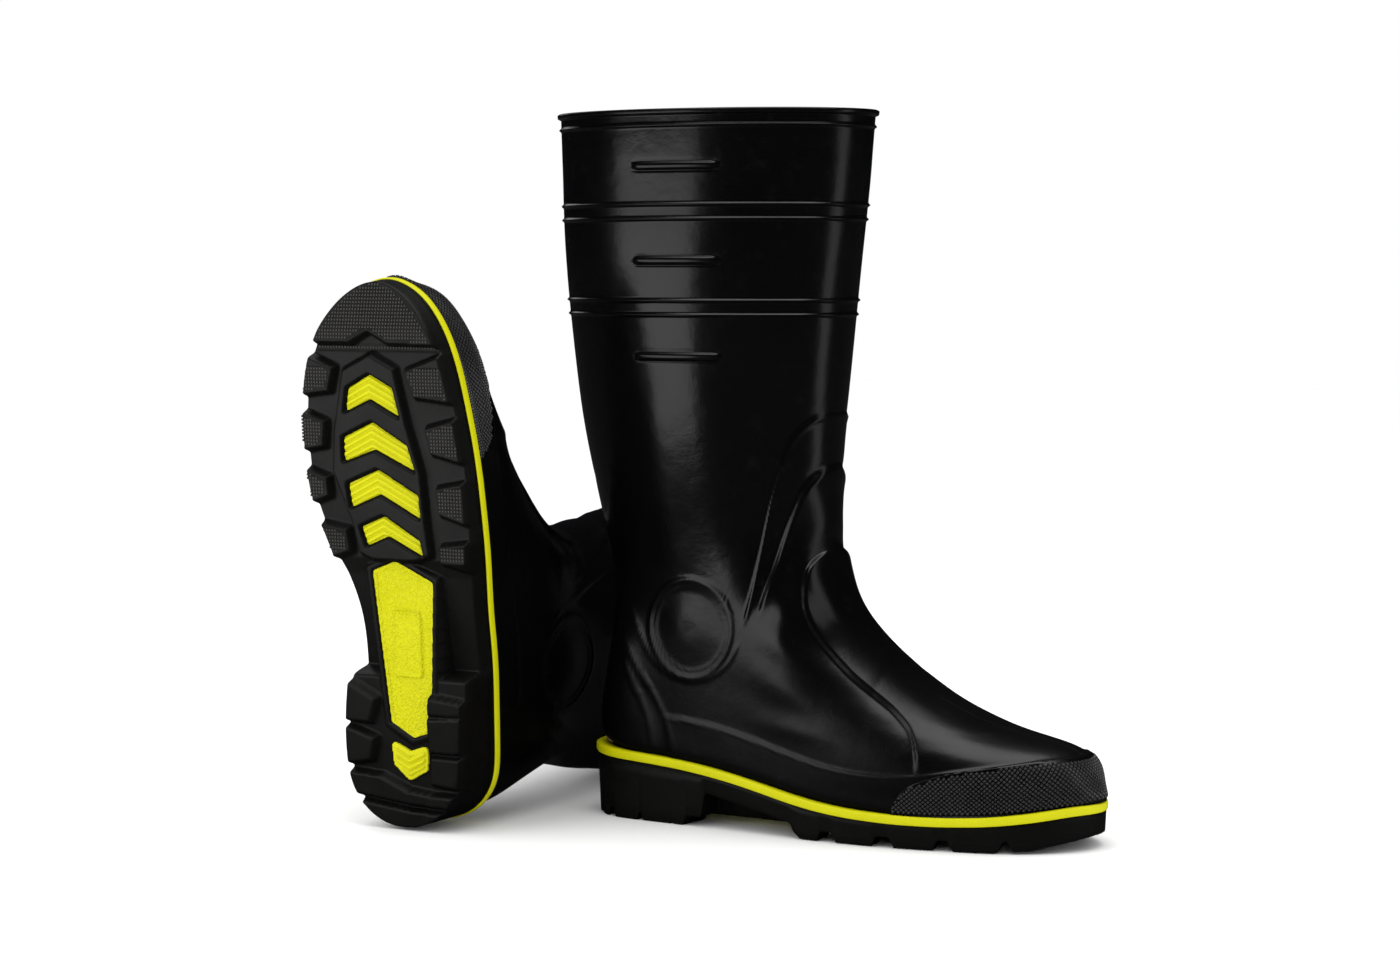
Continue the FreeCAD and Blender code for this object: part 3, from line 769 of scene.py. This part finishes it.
def tread_studs(sole, raster, cells):
    """Square rows of small blunt studs on the marked cells."""
    xs, ys = raster.xs, raster.ys
    corners = []
    for x in np.arange(KNURL_START, xs[-1], STUD_PITCH):
        for y in np.arange(ys[0], ys[-1], STUD_PITCH):
            if not cells[int((x - xs[0]) / RASTER), int((y - ys[0]) / RASTER)]:
                continue
            tip = float(sampled(raster, raster.black, np.array((x, y))))
            for half, level in ((STUD_TOP, tip), (STUD_BASE, tip + KNURL_DEPTH + STUD_SUNK)):
                corners += [(x + a * half, y + b * half, level) for a, b in SQUARE]
    # the studs' tops get a painted highlight
    sole.add_blocks(corners, painted_highlight=(1.0, 0.0))


def outsole_surface(raster):
    """Black outsole: drafted tread blocks below, tapered side walls and a flat lid."""
    cells = knurl_cells(raster)
    recess = blurred_both(widest(cells.astype(float), 1, np.max), 1)
    toe_to_side = smooth_step(TOE_SPINE + 40.0 - LOOP[:, 0], 0.0, 60.0)
    base_inset = STRIPE_STEP + TOE_TAPER + (SIDE_TAPER - TOE_TAPER) * toe_to_side
    sheet = plan_sheet(base_inset + EDGE_ROUND, ACROSS_HALF)
    depth = KNURL_DEPTH * sampled(raster, recess, sheet)
    under = np.dstack([sheet, sampled(raster, drafted(raster.black), sheet) + depth])
    sole = Surface()
    index = sole.add_grid(under, flip=True)
    ring = np.concatenate([index[:, 0], index[-2:0:-1, -1]])
    rim_level = sole.points[ring][:, 2]
    top = line_level(LOOP[:, 0])
    rows = [(base_inset + 0.3 * EDGE_ROUND, rim_level + 0.3 * EDGE_ROUND),
            (base_inset, rim_level + EDGE_ROUND)]
    for share in (0.25, 0.5, 0.75, 1.0):
        inset = base_inset + (STRIPE_STEP - base_inset) * share
        rows.append((inset, rim_level + EDGE_ROUND + (top - rim_level - EDGE_ROUND) * share))
    for inset, levels in rows:
        after = sole.add_ring(np.column_stack([inset_loop(inset), levels]))
        sole.bridge(ring, after, flip=True)
        ring = after
    middle = sole.add_ring(np.column_stack([LOOP_SPINE, line_level(LOOP_SPINE[:, 0])]))
    sole.bridge(ring, middle, flip=True)
    tread_studs(sole, raster, cells)
    return sole


# ---------------- yellow midsole

RIB_PITCH = 3.75
RIB_DEPTH = 1.3
RIB_SWEEP = 0.48
INSERT_MARGIN = 2       # cells by which an insert reaches under the black walls
INSERT_BACK = 2.6
INSERT_AREA = 60.0      # smaller windows are left out
PANEL_LENGTH = 60.0     # the one insert longer than this is the waist panel
PANEL_FRAME = 0.9
PLATE_ALONG = 0.53      # place of the label plate along the panel
PLATE_HALF = (18.5, 9.5)
PLATE_CORNER = 2.0
AWAY_CELLS = 8


def without_tips(marked):
    """Trims the parts of a marked area that are thinner than a few cells."""
    return grown(grown(shrunk(shrunk(marked)))) & marked


def window_groups(window):
    """Separate windows of the raster, as one mask each."""
    left = window.copy()
    groups = []
    while left.any():
        seed = np.zeros(left.shape, bool)
        seed[tuple(np.argwhere(left)[0])] = True
        count = 0
        while seed.sum() != count:
            count = seed.sum()
            for _ in range(AWAY_CELLS):
                seed = grown(seed) & left
        left &= ~seed
        if count * RASTER ** 2 > INSERT_AREA:
            groups.append(without_tips(seed))
    return groups


def insert_heights(group, raster):
    """Face of one insert: a framed panel on the waist, or V ribs on a chevron or the heel insert."""
    xs, ys = raster.xs, raster.ys
    cells = np.argwhere(group)
    x, y = np.meshgrid(xs, ys, indexing="ij")
    base = float(np.median(raster.yellow[group]))
    x_low, x_high = xs[cells[:, 0].min()], xs[cells[:, 0].max()]
    inner = group
    away = np.zeros(group.shape)
    for _ in range(AWAY_CELLS):
        inner = widest(inner, 1, np.min)
        away += inner
    away = blurred_both(away, 2) * RASTER
    if x_high - x_low > PANEL_LENGTH:
        sunk = base + PANEL_FRAME * smooth_step(away, 0.8, 1.8)
        plate_x = np.abs(x - (x_low + PLATE_ALONG * (x_high - x_low))) - PLATE_HALF[0]
        plate_y = np.abs(y - float(ys[cells[:, 1]].mean()) + 0.5) - PLATE_HALF[1]
        beyond = [np.maximum(part + PLATE_CORNER, 0) for part in (plate_x, plate_y)]
        plate = np.hypot(*beyond) - PLATE_CORNER
        return sunk - smooth_step(-plate, 0.0, 0.5) - bead(plate + 1.0, 0.5, 0.6), 1.0
    forward = 1.0 if x_low > KNURL_START else -1.0
    tip = x_high if forward > 0 else x_low
    tip_cells = cells[np.abs(xs[cells[:, 0]] - tip) < 1.2]
    tip_y = float(ys[tip_cells[:, 1]].mean())
    phase = (tip - x) * forward - RIB_SWEEP * np.abs(y - tip_y)
    rib = 0.5 + 0.5 * np.cos(2 * math.pi * phase / RIB_PITCH + math.pi)
    present = smooth_step(rib, 0.15, 0.7) * smooth_step(away, 0.3, 1.0)
    return base + RIB_DEPTH * (1 - present), 0.0


def insert_patch(midsole, group, heights, raster):
    """Closed block of one insert, slightly wider than its window so that the black walls trim it."""
    wide = widest(group, INSERT_MARGIN, np.max)
    cells = wide[:-1, :-1] & wide[1:, :-1] & wide[:-1, 1:] & wide[1:, 1:]
    used = np.zeros(group.shape, bool)
    for a, b in ((0, 0), (1, 0), (0, 1), (1, 1)):
        used |= np.pad(cells, ((a, 1 - a), (b, 1 - b)))
    places = np.argwhere(used)
    number = np.full(group.shape, -1)
    number[used] = np.arange(len(places))
    x, y, z = raster.xs[places[:, 0]], raster.ys[places[:, 1]], heights[used]
    face = midsole.add_points(np.column_stack([x, y, z]))
    back = midsole.add_points(np.column_stack([x, y, np.full(len(z), z.max() + INSERT_BACK)]))
    i, j = np.argwhere(cells).T
    corners = np.stack([number[i, j], number[i, j + 1], number[i + 1, j + 1], number[i + 1, j]], axis=1)
    midsole.faces += [face + corners, back + corners[:, ::-1]]
    edges = np.concatenate([corners[:, [k, (k + 1) % 4]] for k in range(4)])
    keys = {(a, b) for a, b in edges.tolist()}
    border = np.array([(a, b) for a, b in keys if (b, a) not in keys])
    midsole.faces.append(np.column_stack([face + border[:, ::-1], back + border]))


def stripe_profile():
    """Cross section of the stripe as (inset, height) once round, starting low on the outside."""
    outer = [(0.5, 0.0), (0.15, 0.35), (0.0, 0.9), (-0.05, 0.5 * STRIPE_THICK),
             (0.0, STRIPE_THICK - 0.9), (0.2, STRIPE_THICK - 0.3), (0.7, STRIPE_THICK)]
    return outer + [(4.0, STRIPE_THICK), (9.0, STRIPE_THICK - 0.1), (9.0, 0.1), (4.0, 0.0)]


def midsole_surface(raster):
    """Yellow midsole: the stripe round the edge and the inserts; grain marks the waist panel."""
    layer = Surface()
    level = line_level(LOOP[:, 0])
    rings = [layer.add_ring(np.column_stack([inset_loop(inset), level + rise]))
             for inset, rise in stripe_profile()]
    for ring, after in zip(rings, rings[1:] + rings[:1]):
        layer.bridge(ring, after, flip=True)
    grain = [np.zeros(len(layer.points))]
    for group in window_groups(raster.window):
        heights, grained = insert_heights(group, raster)
        before = len(layer.points)
        insert_patch(layer, group, heights, raster)
        grain.append(np.full(len(layer.points) - before, grained))
    layer.values["grain"] = np.concatenate(grain)
    return layer


# ---------------- toe guard

GUARD_THICK = 1.5
GUARD_ROW = 1.0
GUARD_SUNK = 0.45       # depth of the diamonds' field below the guard's plain edge
GUARD_BACK = 0.9
GUARD_EDGE = [(203.5, 15.0), (205.5, 24.0), (209.5, 30.5), (216, 35.5), (224, 38.6), (240, 43),
              (266, 46.6), (282, 48.4), (310, 49.2)]
DIAMOND_WIDE, DIAMOND_TALL = 2.9, 2.5
DIAMOND_REACH = 0.48    # from the middle to a corner; less than half, so that two never share a corner
DIAMOND_HEIGHT = 0.7
DIAMOND_SINK = 0.25
DIAMOND_TOP = 0.6
FIRST_ROW, LAST_ROW, SIDE_ROOM = 1.6, 1.9, 2.0   # plain room below, above and at the ends of the rows


def guard_lattice():
    """Points and outward normals on the skin under the guard, and its lower and upper levels."""
    edge = smooth_line(GUARD_EDGE, 1.0)
    around = np.flatnonzero(LOOP[:, 0] > GUARD_EDGE[0][0])[::2]
    places, spine = LOOP[around], LOOP_SPINE[around]
    directions = unit(places - spine)
    bottom = line_level(places[:, 0]) + STRIPE_THICK + 0.1
    top = np.maximum(np.interp(places[:, 0], edge[:, 0], edge[:, 1]), bottom + 0.4)
    rows = int((top - bottom).max() / GUARD_ROW) + 2
    levels = np.minimum(bottom[:, None] + GUARD_ROW * np.arange(rows), top[:, None])
    reach = 60.0
    skin = np.empty(levels.shape)
    for i in range(len(places)):
        for j in range(rows):
            start = (*(places[i] + directions[i] * reach), levels[i, j])
            skin[i, j] = cast(UPPER_TREE, start, (-directions[i][0], -directions[i][1], 0.0))
    skin = blurred(blurred(without_gaps(skin, 1.5), 3, 0), 2, 1)
    points = np.empty(levels.shape + (3,))
    points[..., :2] = places[:, None] + directions[:, None] * (reach - skin)[..., None]
    points[..., 2] = levels
    lean = np.clip(np.gradient(skin, axis=1) / GUARD_ROW, 0.0, 4.0)
    normals = unit(np.dstack([np.repeat(directions[:, None], rows, 1), lean]))
    for row in range(1, rows):   # rows past the upper edge lie exactly on it
        held = levels[:, row] == levels[:, row - 1]
        points[held, row] = points[held, row - 1]
        normals[held, row] = normals[held, row - 1]
    return points, normals, bottom, top


def guard_diamonds(shell, points, normals, room):
    """Rows of small flat-topped diamonds over the face of the guard."""
    numbers = np.arange(len(points))
    way = running_length(points[:, 0, :2])
    out = GUARD_THICK - GUARD_SUNK - DIAMOND_SINK
    corners = []
    for row in range(int(room.max() / DIAMOND_TALL * 2)):
        rise = FIRST_ROW + row * DIAMOND_TALL / 2
        first = SIDE_ROOM + 0.5 * DIAMOND_WIDE * (row % 2)
        for along in np.arange(first, way[-1] - SIDE_ROOM, DIAMOND_WIDE):
            u = np.interp(along, way, numbers)
            if rise > np.interp(u, numbers, room) - LAST_ROW:
                continue
            base = []
            for wide, tall in ((-1, 0), (0, -1), (1, 0), (0, 1)):
                at_u = np.interp(along + wide * DIAMOND_REACH * DIAMOND_WIDE, way, numbers)
                at_v = (rise + tall * DIAMOND_REACH * DIAMOND_TALL) / GUARD_ROW
                base.append(bilinear(points, at_u, at_v) + bilinear(normals, at_u, at_v) * out)
            normal = bilinear(normals, u, rise / GUARD_ROW)
            middle = sum(base) / 4
            raised = middle + normal * (DIAMOND_HEIGHT + DIAMOND_SINK)
            corners += base + [raised + (corner - middle) * DIAMOND_TOP for corner in base]
    # the diamonds' tops get a painted highlight
    shell.add_blocks(corners, painted_highlight=(0.0, 1.0))


def outline(index):
    """Vertex numbers once round the edge of a grid."""
    return np.concatenate([index[0, :-1], index[:-1, -1], index[-1, :0:-1], index[:0:-1, 0]])


def guard_surface():
    """Closed bumper round the toe, from the stripe to the foxing's edge, set with diamonds."""
    points, normals, bottom, top = guard_lattice()
    to_edge = np.minimum(top[:, None] - points[..., 2], points[..., 2] - bottom[:, None])
    numbers = np.arange(len(points))
    to_edge = np.minimum(to_edge, 0.9 * np.minimum(numbers, numbers[::-1])[:, None])
    rise = GUARD_THICK * smooth_step(to_edge, -0.35, 0.9) - GUARD_SUNK * smooth_step(to_edge, 1.0, 1.8)
    shell = Surface()
    front = shell.add_grid(points + normals * rise[..., None])
    rear = shell.add_grid(points - normals * GUARD_BACK, flip=True)
    shell.bridge(outline(front), outline(rear))
    guard_diamonds(shell, points, normals, top - bottom)
    return shell


# ---------------- footbed

FOOTBED_INSET = 10.8
FOOTBED_EASE = 0.11     # how much the bed's forefoot is shortened, so that it lifts clear of the toe
FOOTBED_HALF = 14
FOOTBED_ROWS = 120
FOOTBED_STEP = 3.0
CUP_HEIGHT, EDGE_DROP = 0.9, 1.1
BED_TOP, BED_BOTTOM = 0.9, 0.2   # room left to the CAD bed's faces


def footbed_surface():
    """Felt-topped foam insole, cupped at the heel, with a rolled edge."""
    low, high = node_box("right_footbed")
    stations = np.arange(low[0] + 6.0, high[0] - 8.0, FOOTBED_STEP)
    tops = [120.0 - cast(FOOTBED_TREE, (x, 0.0, 120.0), (0, 0, -1)) for x in stations]
    bottoms = [cast(FOOTBED_TREE, (x, 0.0, 0.0), (0, 0, 1)) for x in stations]
    sheet = plan_sheet(FOOTBED_INSET, FOOTBED_HALF)
    sheet = sheet[np.linspace(0, len(sheet) - 1, FOOTBED_ROWS).round().astype(int)]
    sheet[..., 0] -= FOOTBED_EASE * np.maximum(sheet[..., 0] - TOE_SPINE, 0)
    share = np.abs(np.linspace(-1, 1, sheet.shape[1]))
    cup = smooth_step(110.0 - sheet[..., 0], 0.0, 80.0) * CUP_HEIGHT * smooth_step(share, 0.55, 0.9)
    edge = EDGE_DROP * smooth_step(share, 0.93, 1.0)
    upper = np.dstack([sheet, np.interp(sheet[..., 0], stations, tops) - BED_TOP + cup - edge])
    lower = np.dstack([sheet, np.interp(sheet[..., 0], stations, bottoms) + BED_BOTTOM + 0.5 * edge])
    bed = Surface()
    above = bed.add_grid(upper)
    below = bed.add_grid(lower, flip=True)
    bed.bridge(above[:, 0], below[:, 0], wrap=False)
    bed.bridge(above[:, -1], below[:, -1], wrap=False, flip=True)
    return bed


# ---------------- materials


def new_material(name):
    material = bpy.data.materials.new(name)
    material.use_nodes = True
    return material, material.node_tree


def set_inputs(tree, node, inputs):
    """Links each input to a socket, or sets its value."""
    for key, value in inputs.items():
        if isinstance(value, bpy.types.NodeSocket):
            tree.links.new(value, node.inputs[key])
        else:
            node.inputs[key].default_value = value


def shade(tree, colour, roughness, normal=None, specular=0.5, sheen=0.0):
    inputs = {"Base Color": colour, "Roughness": roughness, "Specular IOR Level": specular,
              "Sheen Weight": sheen}
    if normal is not None:
        inputs["Normal"] = normal
    set_inputs(tree, tree.nodes["Principled BSDF"], inputs)


def add_node(tree, kind, inputs=None, **settings):
    node = tree.nodes.new(kind)
    for key, value in settings.items():
        setattr(node, key, value)
    set_inputs(tree, node, inputs or {})
    return node


def place_of(tree):
    return add_node(tree, "ShaderNodeTexCoord").outputs["Object"]


def noise(tree, size_mm, detail=3.0, roughness=0.5):
    """Cloudy pattern whose lumps are about size_mm across."""
    inputs = {"Vector": place_of(tree), "Scale": 1.0 / (size_mm * MM), "Detail": detail,
              "Roughness": roughness}
    return add_node(tree, "ShaderNodeTexNoise", inputs).outputs["Fac"]


def pebbles(tree, size_mm):
    """Rounded cells about size_mm across."""
    inputs = {"Vector": place_of(tree), "Scale": 1.0 / (size_mm * MM)}
    return add_node(tree, "ShaderNodeTexVoronoi", inputs).outputs["Distance"]


def spread(tree, value, from_low, from_high, to_low=0.0, to_high=1.0):
    inputs = {"Value": value, "From Min": from_low, "From Max": from_high, "To Min": to_low,
              "To Max": to_high}
    return add_node(tree, "ShaderNodeMapRange", inputs).outputs["Result"]


def math_node(tree, operation, a, b=0.0):
    return add_node(tree, "ShaderNodeMath", {0: a, 1: b}, operation=operation).outputs[0]


def plus(tree, a, b):
    return math_node(tree, "ADD", a, b)


def times(tree, a, b):
    return math_node(tree, "MULTIPLY", a, b)


def light_path(tree, kind):
    return add_node(tree, "ShaderNodeLightPath").outputs[kind]


def mixed(tree, share, a, b):
    inputs = {0: share, 6: a, 7: b}
    return add_node(tree, "ShaderNodeMix", inputs, data_type="RGBA").outputs[2]


def bump(tree, height, depth_mm, normal=None):
    inputs = {"Height": height, "Distance": depth_mm * MM, "Strength": 1.0}
    if normal is not None:
        inputs["Normal"] = normal
    return add_node(tree, "ShaderNodeBump", inputs).outputs["Normal"]


def attribute(tree, name):
    return add_node(tree, "ShaderNodeAttribute", attribute_name=name).outputs["Fac"]


def glossy_black():
    """Polished black PVC: orange peel, faint scuffs, and a satin foot."""
    material, tree = new_material("glossy_black")
    cloud = noise(tree, 60.0, 4.0)
    scuff = spread(tree, noise(tree, 9.0, 8.0, 0.72), 0.56, 0.74)
    rough = spread(tree, attribute(tree, "satin"), 0.0, 1.0, 0.2, 0.33)
    rough = plus(tree, rough, spread(tree, cloud, 0.3, 0.7, -0.03, 0.05))
    rough = plus(tree, rough, spread(tree, scuff, 0.0, 1.0, 0.0, 0.05))
    colour = mixed(tree, cloud, (0.0008, 0.0008, 0.0010, 1), (0.0017, 0.0017, 0.0021, 1))
    colour = mixed(tree, times(tree, scuff, 0.12), colour, (0.02, 0.02, 0.021, 1))
    peel = bump(tree, noise(tree, 1.4, 2.0), 0.035)
    shade(tree, colour, rough, bump(tree, noise(tree, 14.0, 2.0), 0.22, peel))
    return material


def guard_black():
    """Satin black rubber of the toe guard, with a painted highlight making the tops of the diamonds
    lighter.
    """
    material, tree = new_material("guard_black")
    cloud = noise(tree, 12.0, 4.0)
    # painted highlight: the diamonds' tops are coloured lighter, standing in for the light their upper
    # faces catch
    tops = mixed(tree, cloud, (0.020, 0.020, 0.021, 1), (0.036, 0.036, 0.036, 1))
    colour = mixed(tree, attribute(tree, "painted_highlight"), (0.0012, 0.0012, 0.0013, 1), tops)
    rough = spread(tree, cloud, 0.3, 0.7, 0.22, 0.32)
    shade(tree, colour, rough, bump(tree, noise(tree, 0.6, 3.0), 0.03))
    return material


def tread_rubber():
    """Matte charcoal rubber: fine grain, dust, and a painted highlight making the stud tops lighter."""
    material, tree = new_material("tread_rubber")
    cloud = noise(tree, 25.0, 5.0)
    speck = spread(tree, noise(tree, 1.1, 6.0, 0.7), 0.5, 0.75)
    colour = mixed(tree, cloud, (0.0022, 0.0020, 0.0017, 1), (0.0048, 0.0044, 0.0038, 1))
    colour = mixed(tree, times(tree, speck, 0.35), colour, (0.012, 0.011, 0.0095, 1))
    # painted highlight: the stud tops are coloured lighter, standing in for light caught from above
    colour = mixed(tree, attribute(tree, "painted_highlight"), colour, (0.042, 0.040, 0.036, 1))
    rough = spread(tree, cloud, 0.3, 0.7, 0.42, 0.56)
    grain = bump(tree, noise(tree, 0.7, 4.0, 0.65), 0.06)
    shade(tree, colour, rough, bump(tree, noise(tree, 6.0, 3.0), 0.12, grain), specular=0.32)
    return material


def yellow_rubber():
    """Bright lemon rubber, dim in reflections; the waist panel carries a pebbled grain."""
    material, tree = new_material("yellow_rubber")
    cloud = noise(tree, 18.0, 4.0)
    grime = spread(tree, noise(tree, 5.0, 8.0, 0.7), 0.6, 0.8, 0.0, 0.35)
    colour = mixed(tree, cloud, (0.505, 0.50, 0.001, 1), (0.57, 0.56, 0.002, 1))
    colour = mixed(tree, grime, colour, (0.33, 0.32, 0.008, 1))
    colour = mixed(tree, light_path(tree, "Is Glossy Ray"), colour, (0.05, 0.05, 0.001, 1))
    rough = spread(tree, cloud, 0.3, 0.7, 0.38, 0.5)
    pebble = times(tree, pebbles(tree, 1.5), attribute(tree, "grain"))
    fine = bump(tree, noise(tree, 0.8, 3.0), 0.03)
    shade(tree, colour, rough, bump(tree, pebble, 0.9, fine), specular=0.15)
    return material


def knit():
    """Pale grey knitted sock: V stitches in columns, with painted shade darkening the hollows between
    stitches.
    """
    material, tree = new_material("knit")
    around, down = attribute(tree, "around"), attribute(tree, "down")
    column = math_node(tree, "COSINE", around)
    half_turn = math_node(tree, "SINE", times(tree, around, 0.5))
    lean = times(tree, math_node(tree, "ABSOLUTE", half_turn), 2.2)
    stitch = math_node(tree, "SINE", plus(tree, times(tree, down, 3.6), lean))
    height = plus(tree, times(tree, column, 0.6), times(tree, stitch, 0.4))
    fuzz = noise(tree, 0.5, 4.0)
    # painted shade: the colour follows the stitch height, lighter on the raised stitches and darker in
    # the hollows between them
    colour = mixed(tree, spread(tree, height, -1.0, 1.0), (0.20, 0.20, 0.205, 1), (0.46, 0.46, 0.45, 1))
    colour = mixed(tree, times(tree, fuzz, 0.3), colour, (0.55, 0.55, 0.54, 1))
    shade(tree, colour, 0.92, bump(tree, height, 0.35, bump(tree, fuzz, 0.15)), sheen=0.25)
    return material


def felt():
    """Dark grey needled felt on the footbed."""
    material, tree = new_material("felt")
    fibre = noise(tree, 0.9, 8.0, 0.75)
    colour = mixed(tree, fibre, (0.035, 0.037, 0.042, 1), (0.11, 0.115, 0.125, 1))
    shade(tree, colour, 0.95, bump(tree, fibre, 0.4), sheen=0.4)
    return material


def fibre_board():
    """Pressed cellulose board, flecked."""
    material, tree = new_material("fibre_board")
    fleck = noise(tree, 1.8, 8.0, 0.8)
    share = spread(tree, fleck, 0.35, 0.65)
    colour = mixed(tree, share, (0.19, 0.13, 0.075, 1), (0.36, 0.27, 0.17, 1))
    shade(tree, colour, 0.85, bump(tree, fleck, 0.12))
    return material


def blue_foam():
    """Closed-cell foam of the heel pad."""
    material, tree = new_material("blue_foam")
    cells = pebbles(tree, 0.9)
    colour = mixed(tree, cells, (0.03, 0.09, 0.22, 1), (0.06, 0.16, 0.34, 1))
    shade(tree, colour, 0.8, bump(tree, cells, 0.25))
    return material


# ---------------- the two boots

skin_grid, skin_rays = upper_grid()
skin_normals = grid_normals(skin_grid, skin_rays)
tread_table = tread_raster()

row_numbers = finer_rows(skin_grid)
fine_grid, fine_normals = at_rows(skin_grid, row_numbers), at_rows(skin_normals, row_numbers)
UPPER = upper_surface(fine_grid, fine_normals, upper_detail(fine_grid))
LINING = lining_surface(skin_grid, skin_normals)
GUARD = guard_surface()
MIDSOLE = midsole_surface(tread_table)
OUTSOLE = outsole_surface(tread_table)
FOOTBED = footbed_surface()

# name, surface, material, slot, and the CAD nodes that each piece stands for
PIECES = (
    ("upper", UPPER, glossy_black(), "black_upper", ("shaft", "ankle_flex_zone", "foot_shell")),
    ("sock_lining", LINING, knit(), "knit_lining", ("lining",)),
    ("knurled_guard", GUARD, guard_black(), "black_upper", ("toe_guard",)),
    ("yellow_midsole", MIDSOLE, yellow_rubber(), "yellow_midsole", ("midsole",)),
    ("lugged_outsole", OUTSOLE, tread_rubber(), "black_outsole", ("outsole",)),
    ("felt_footbed", FOOTBED, felt(), "footbed_fabric", ("footbed",)),
)
BENDING = ("upper", "sock_lining")
KEPT = {"_insole_board": fibre_board(), "_heel_pad": blue_foam()}
WELD = 0.002
BEND_BELOW, BEND_ABOVE = 22.0, 48.0   # how far the ankle's flexing reaches from its hinge


def weld(obj):
    """Joins coincident points, drops the faces that this leaves empty and turns the rest outward."""
    work = bmesh.new()
    work.from_mesh(obj.data)
    bmesh.ops.remove_doubles(work, verts=work.verts, dist=WELD * MM)
    if work.calc_volume(signed=True) < 0:
        bmesh.ops.reverse_faces(work, faces=work.faces)
    work.to_mesh(obj.data)
    work.free()
    obj.data.update()


def bend_points(side):
    """Where the flexing of the ankle starts and ends, in the boot's own heights."""
    ends = np.array([(ANKLE[0], 0.0, ANKLE[2] + away) for away in (-BEND_BELOW, BEND_ABOVE)])
    ends = ends if side == "right" else to_left(ends)
    return [tuple(p * MM) for p in ends]


def build_boot(side):
    start, end = bend_points(side)
    for name, surface, material, slot, nodes in PIECES:
        piece = make_object(side + "_" + name, surface, material, side)
        weld(piece)
        if name in BENDING:
            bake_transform(piece)
        else:
            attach(piece, side + ("_insole" if name == "felt_footbed" else "_foot"))
        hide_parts(*(side + "_" + node for node in nodes))
    for node, material in KEPT.items():
        kept = frame["nodes"][side + node].data
        kept.materials.clear()
        kept.materials.append(material)


build_boot("right")
build_boot("left")

# ---------------- studio

AZIMUTH = math.radians(29.8)
PITCH = math.radians(3.9)
CAMERA_PLACE = (0.9521, -1.5573, 0.3116)
FOCAL_MM, SENSOR_MM = 82.0, 36.0
FLOOR_HALF = 6.0

camera_data = bpy.data.cameras.new("camera")
camera_data.lens = FOCAL_MM
camera_data.sensor_width = SENSOR_MM
camera_data.clip_start = 0.05
camera = placed("camera", camera_data)
camera.location = CAMERA_PLACE
camera.rotation_euler = (math.pi / 2 - PITCH, 0.0, AZIMUTH)
bpy.context.scene.camera = camera


def softbox(name, bearing, height, distance, width, tall, watts, aim=(0.06, 0.0, 0.2)):
    """Rectangular lamp facing the boots, at a bearing in degrees clockwise from the camera's side."""
    angle = AZIMUTH - math.radians(bearing)
    place = Vector((aim[0] + math.sin(angle) * distance, aim[1] - math.cos(angle) * distance, height))
    lamp = bpy.data.lights.new(name, "AREA")
    lamp.shape = "RECTANGLE"
    lamp.size, lamp.size_y = width, tall
    lamp.energy = watts
    obj = placed(name, lamp)
    obj.location = place
    obj.visible_camera = False
    obj.rotation_euler = (Vector(aim) - place).to_track_quat("-Z", "Y").to_euler()


# name, bearing, height, distance, width, tall, watts
for lamp in (("key", 60, 0.225, 0.50, 0.39, 0.31, 0.54),
             ("front_strip", -66, 0.25, 0.50, 0.11, 0.46, 0.11),
             ("rim", 150, 1.2, 1.6, 0.5, 1.0, 1.5),
             ("top", 0, 1.7, 0.08, 1.6, 1.3, 15)):
    softbox(*lamp)


def studio_world():
    """White backdrop to the eye, and dim grey to reflections."""
    world = bpy.data.worlds.new("studio")
    world.use_nodes = True
    tree = world.node_tree
    mirrored, seen = light_path(tree, "Is Glossy Ray"), light_path(tree, "Is Camera Ray")
    colour = mixed(tree, mirrored, (1.2, 1.2, 1.2, 1), (0.008, 0.008, 0.009, 1))
    colour = mixed(tree, seen, colour, (1.0, 1.0, 1.0, 1))
    set_inputs(tree, tree.nodes["Background"], {"Color": colour})
    bpy.context.scene.world = world


def studio_floor():
    """Pale floor under the boots, kept dim in reflections so that black stays black."""
    floor = Surface()
    x, y = np.meshgrid([-FLOOR_HALF, FLOOR_HALF], [-FLOOR_HALF, FLOOR_HALF])
    floor.add_grid(np.dstack([x, y, np.zeros((2, 2))]) / MM)
    material, tree = new_material("floor_paper")
    paper = mixed(tree, noise(tree, 400.0), (0.87, 0.87, 0.87, 1), (0.89, 0.89, 0.89, 1))
    dim = mixed(tree, light_path(tree, "Is Glossy Ray"), paper, (0.025, 0.025, 0.026, 1))
    shade(tree, dim, 0.9, specular=0.1)
    make_object("floor", floor, material, "right", smooth=False)


studio_world()
studio_floor()
bpy.context.scene.view_settings.view_transform = "Standard"
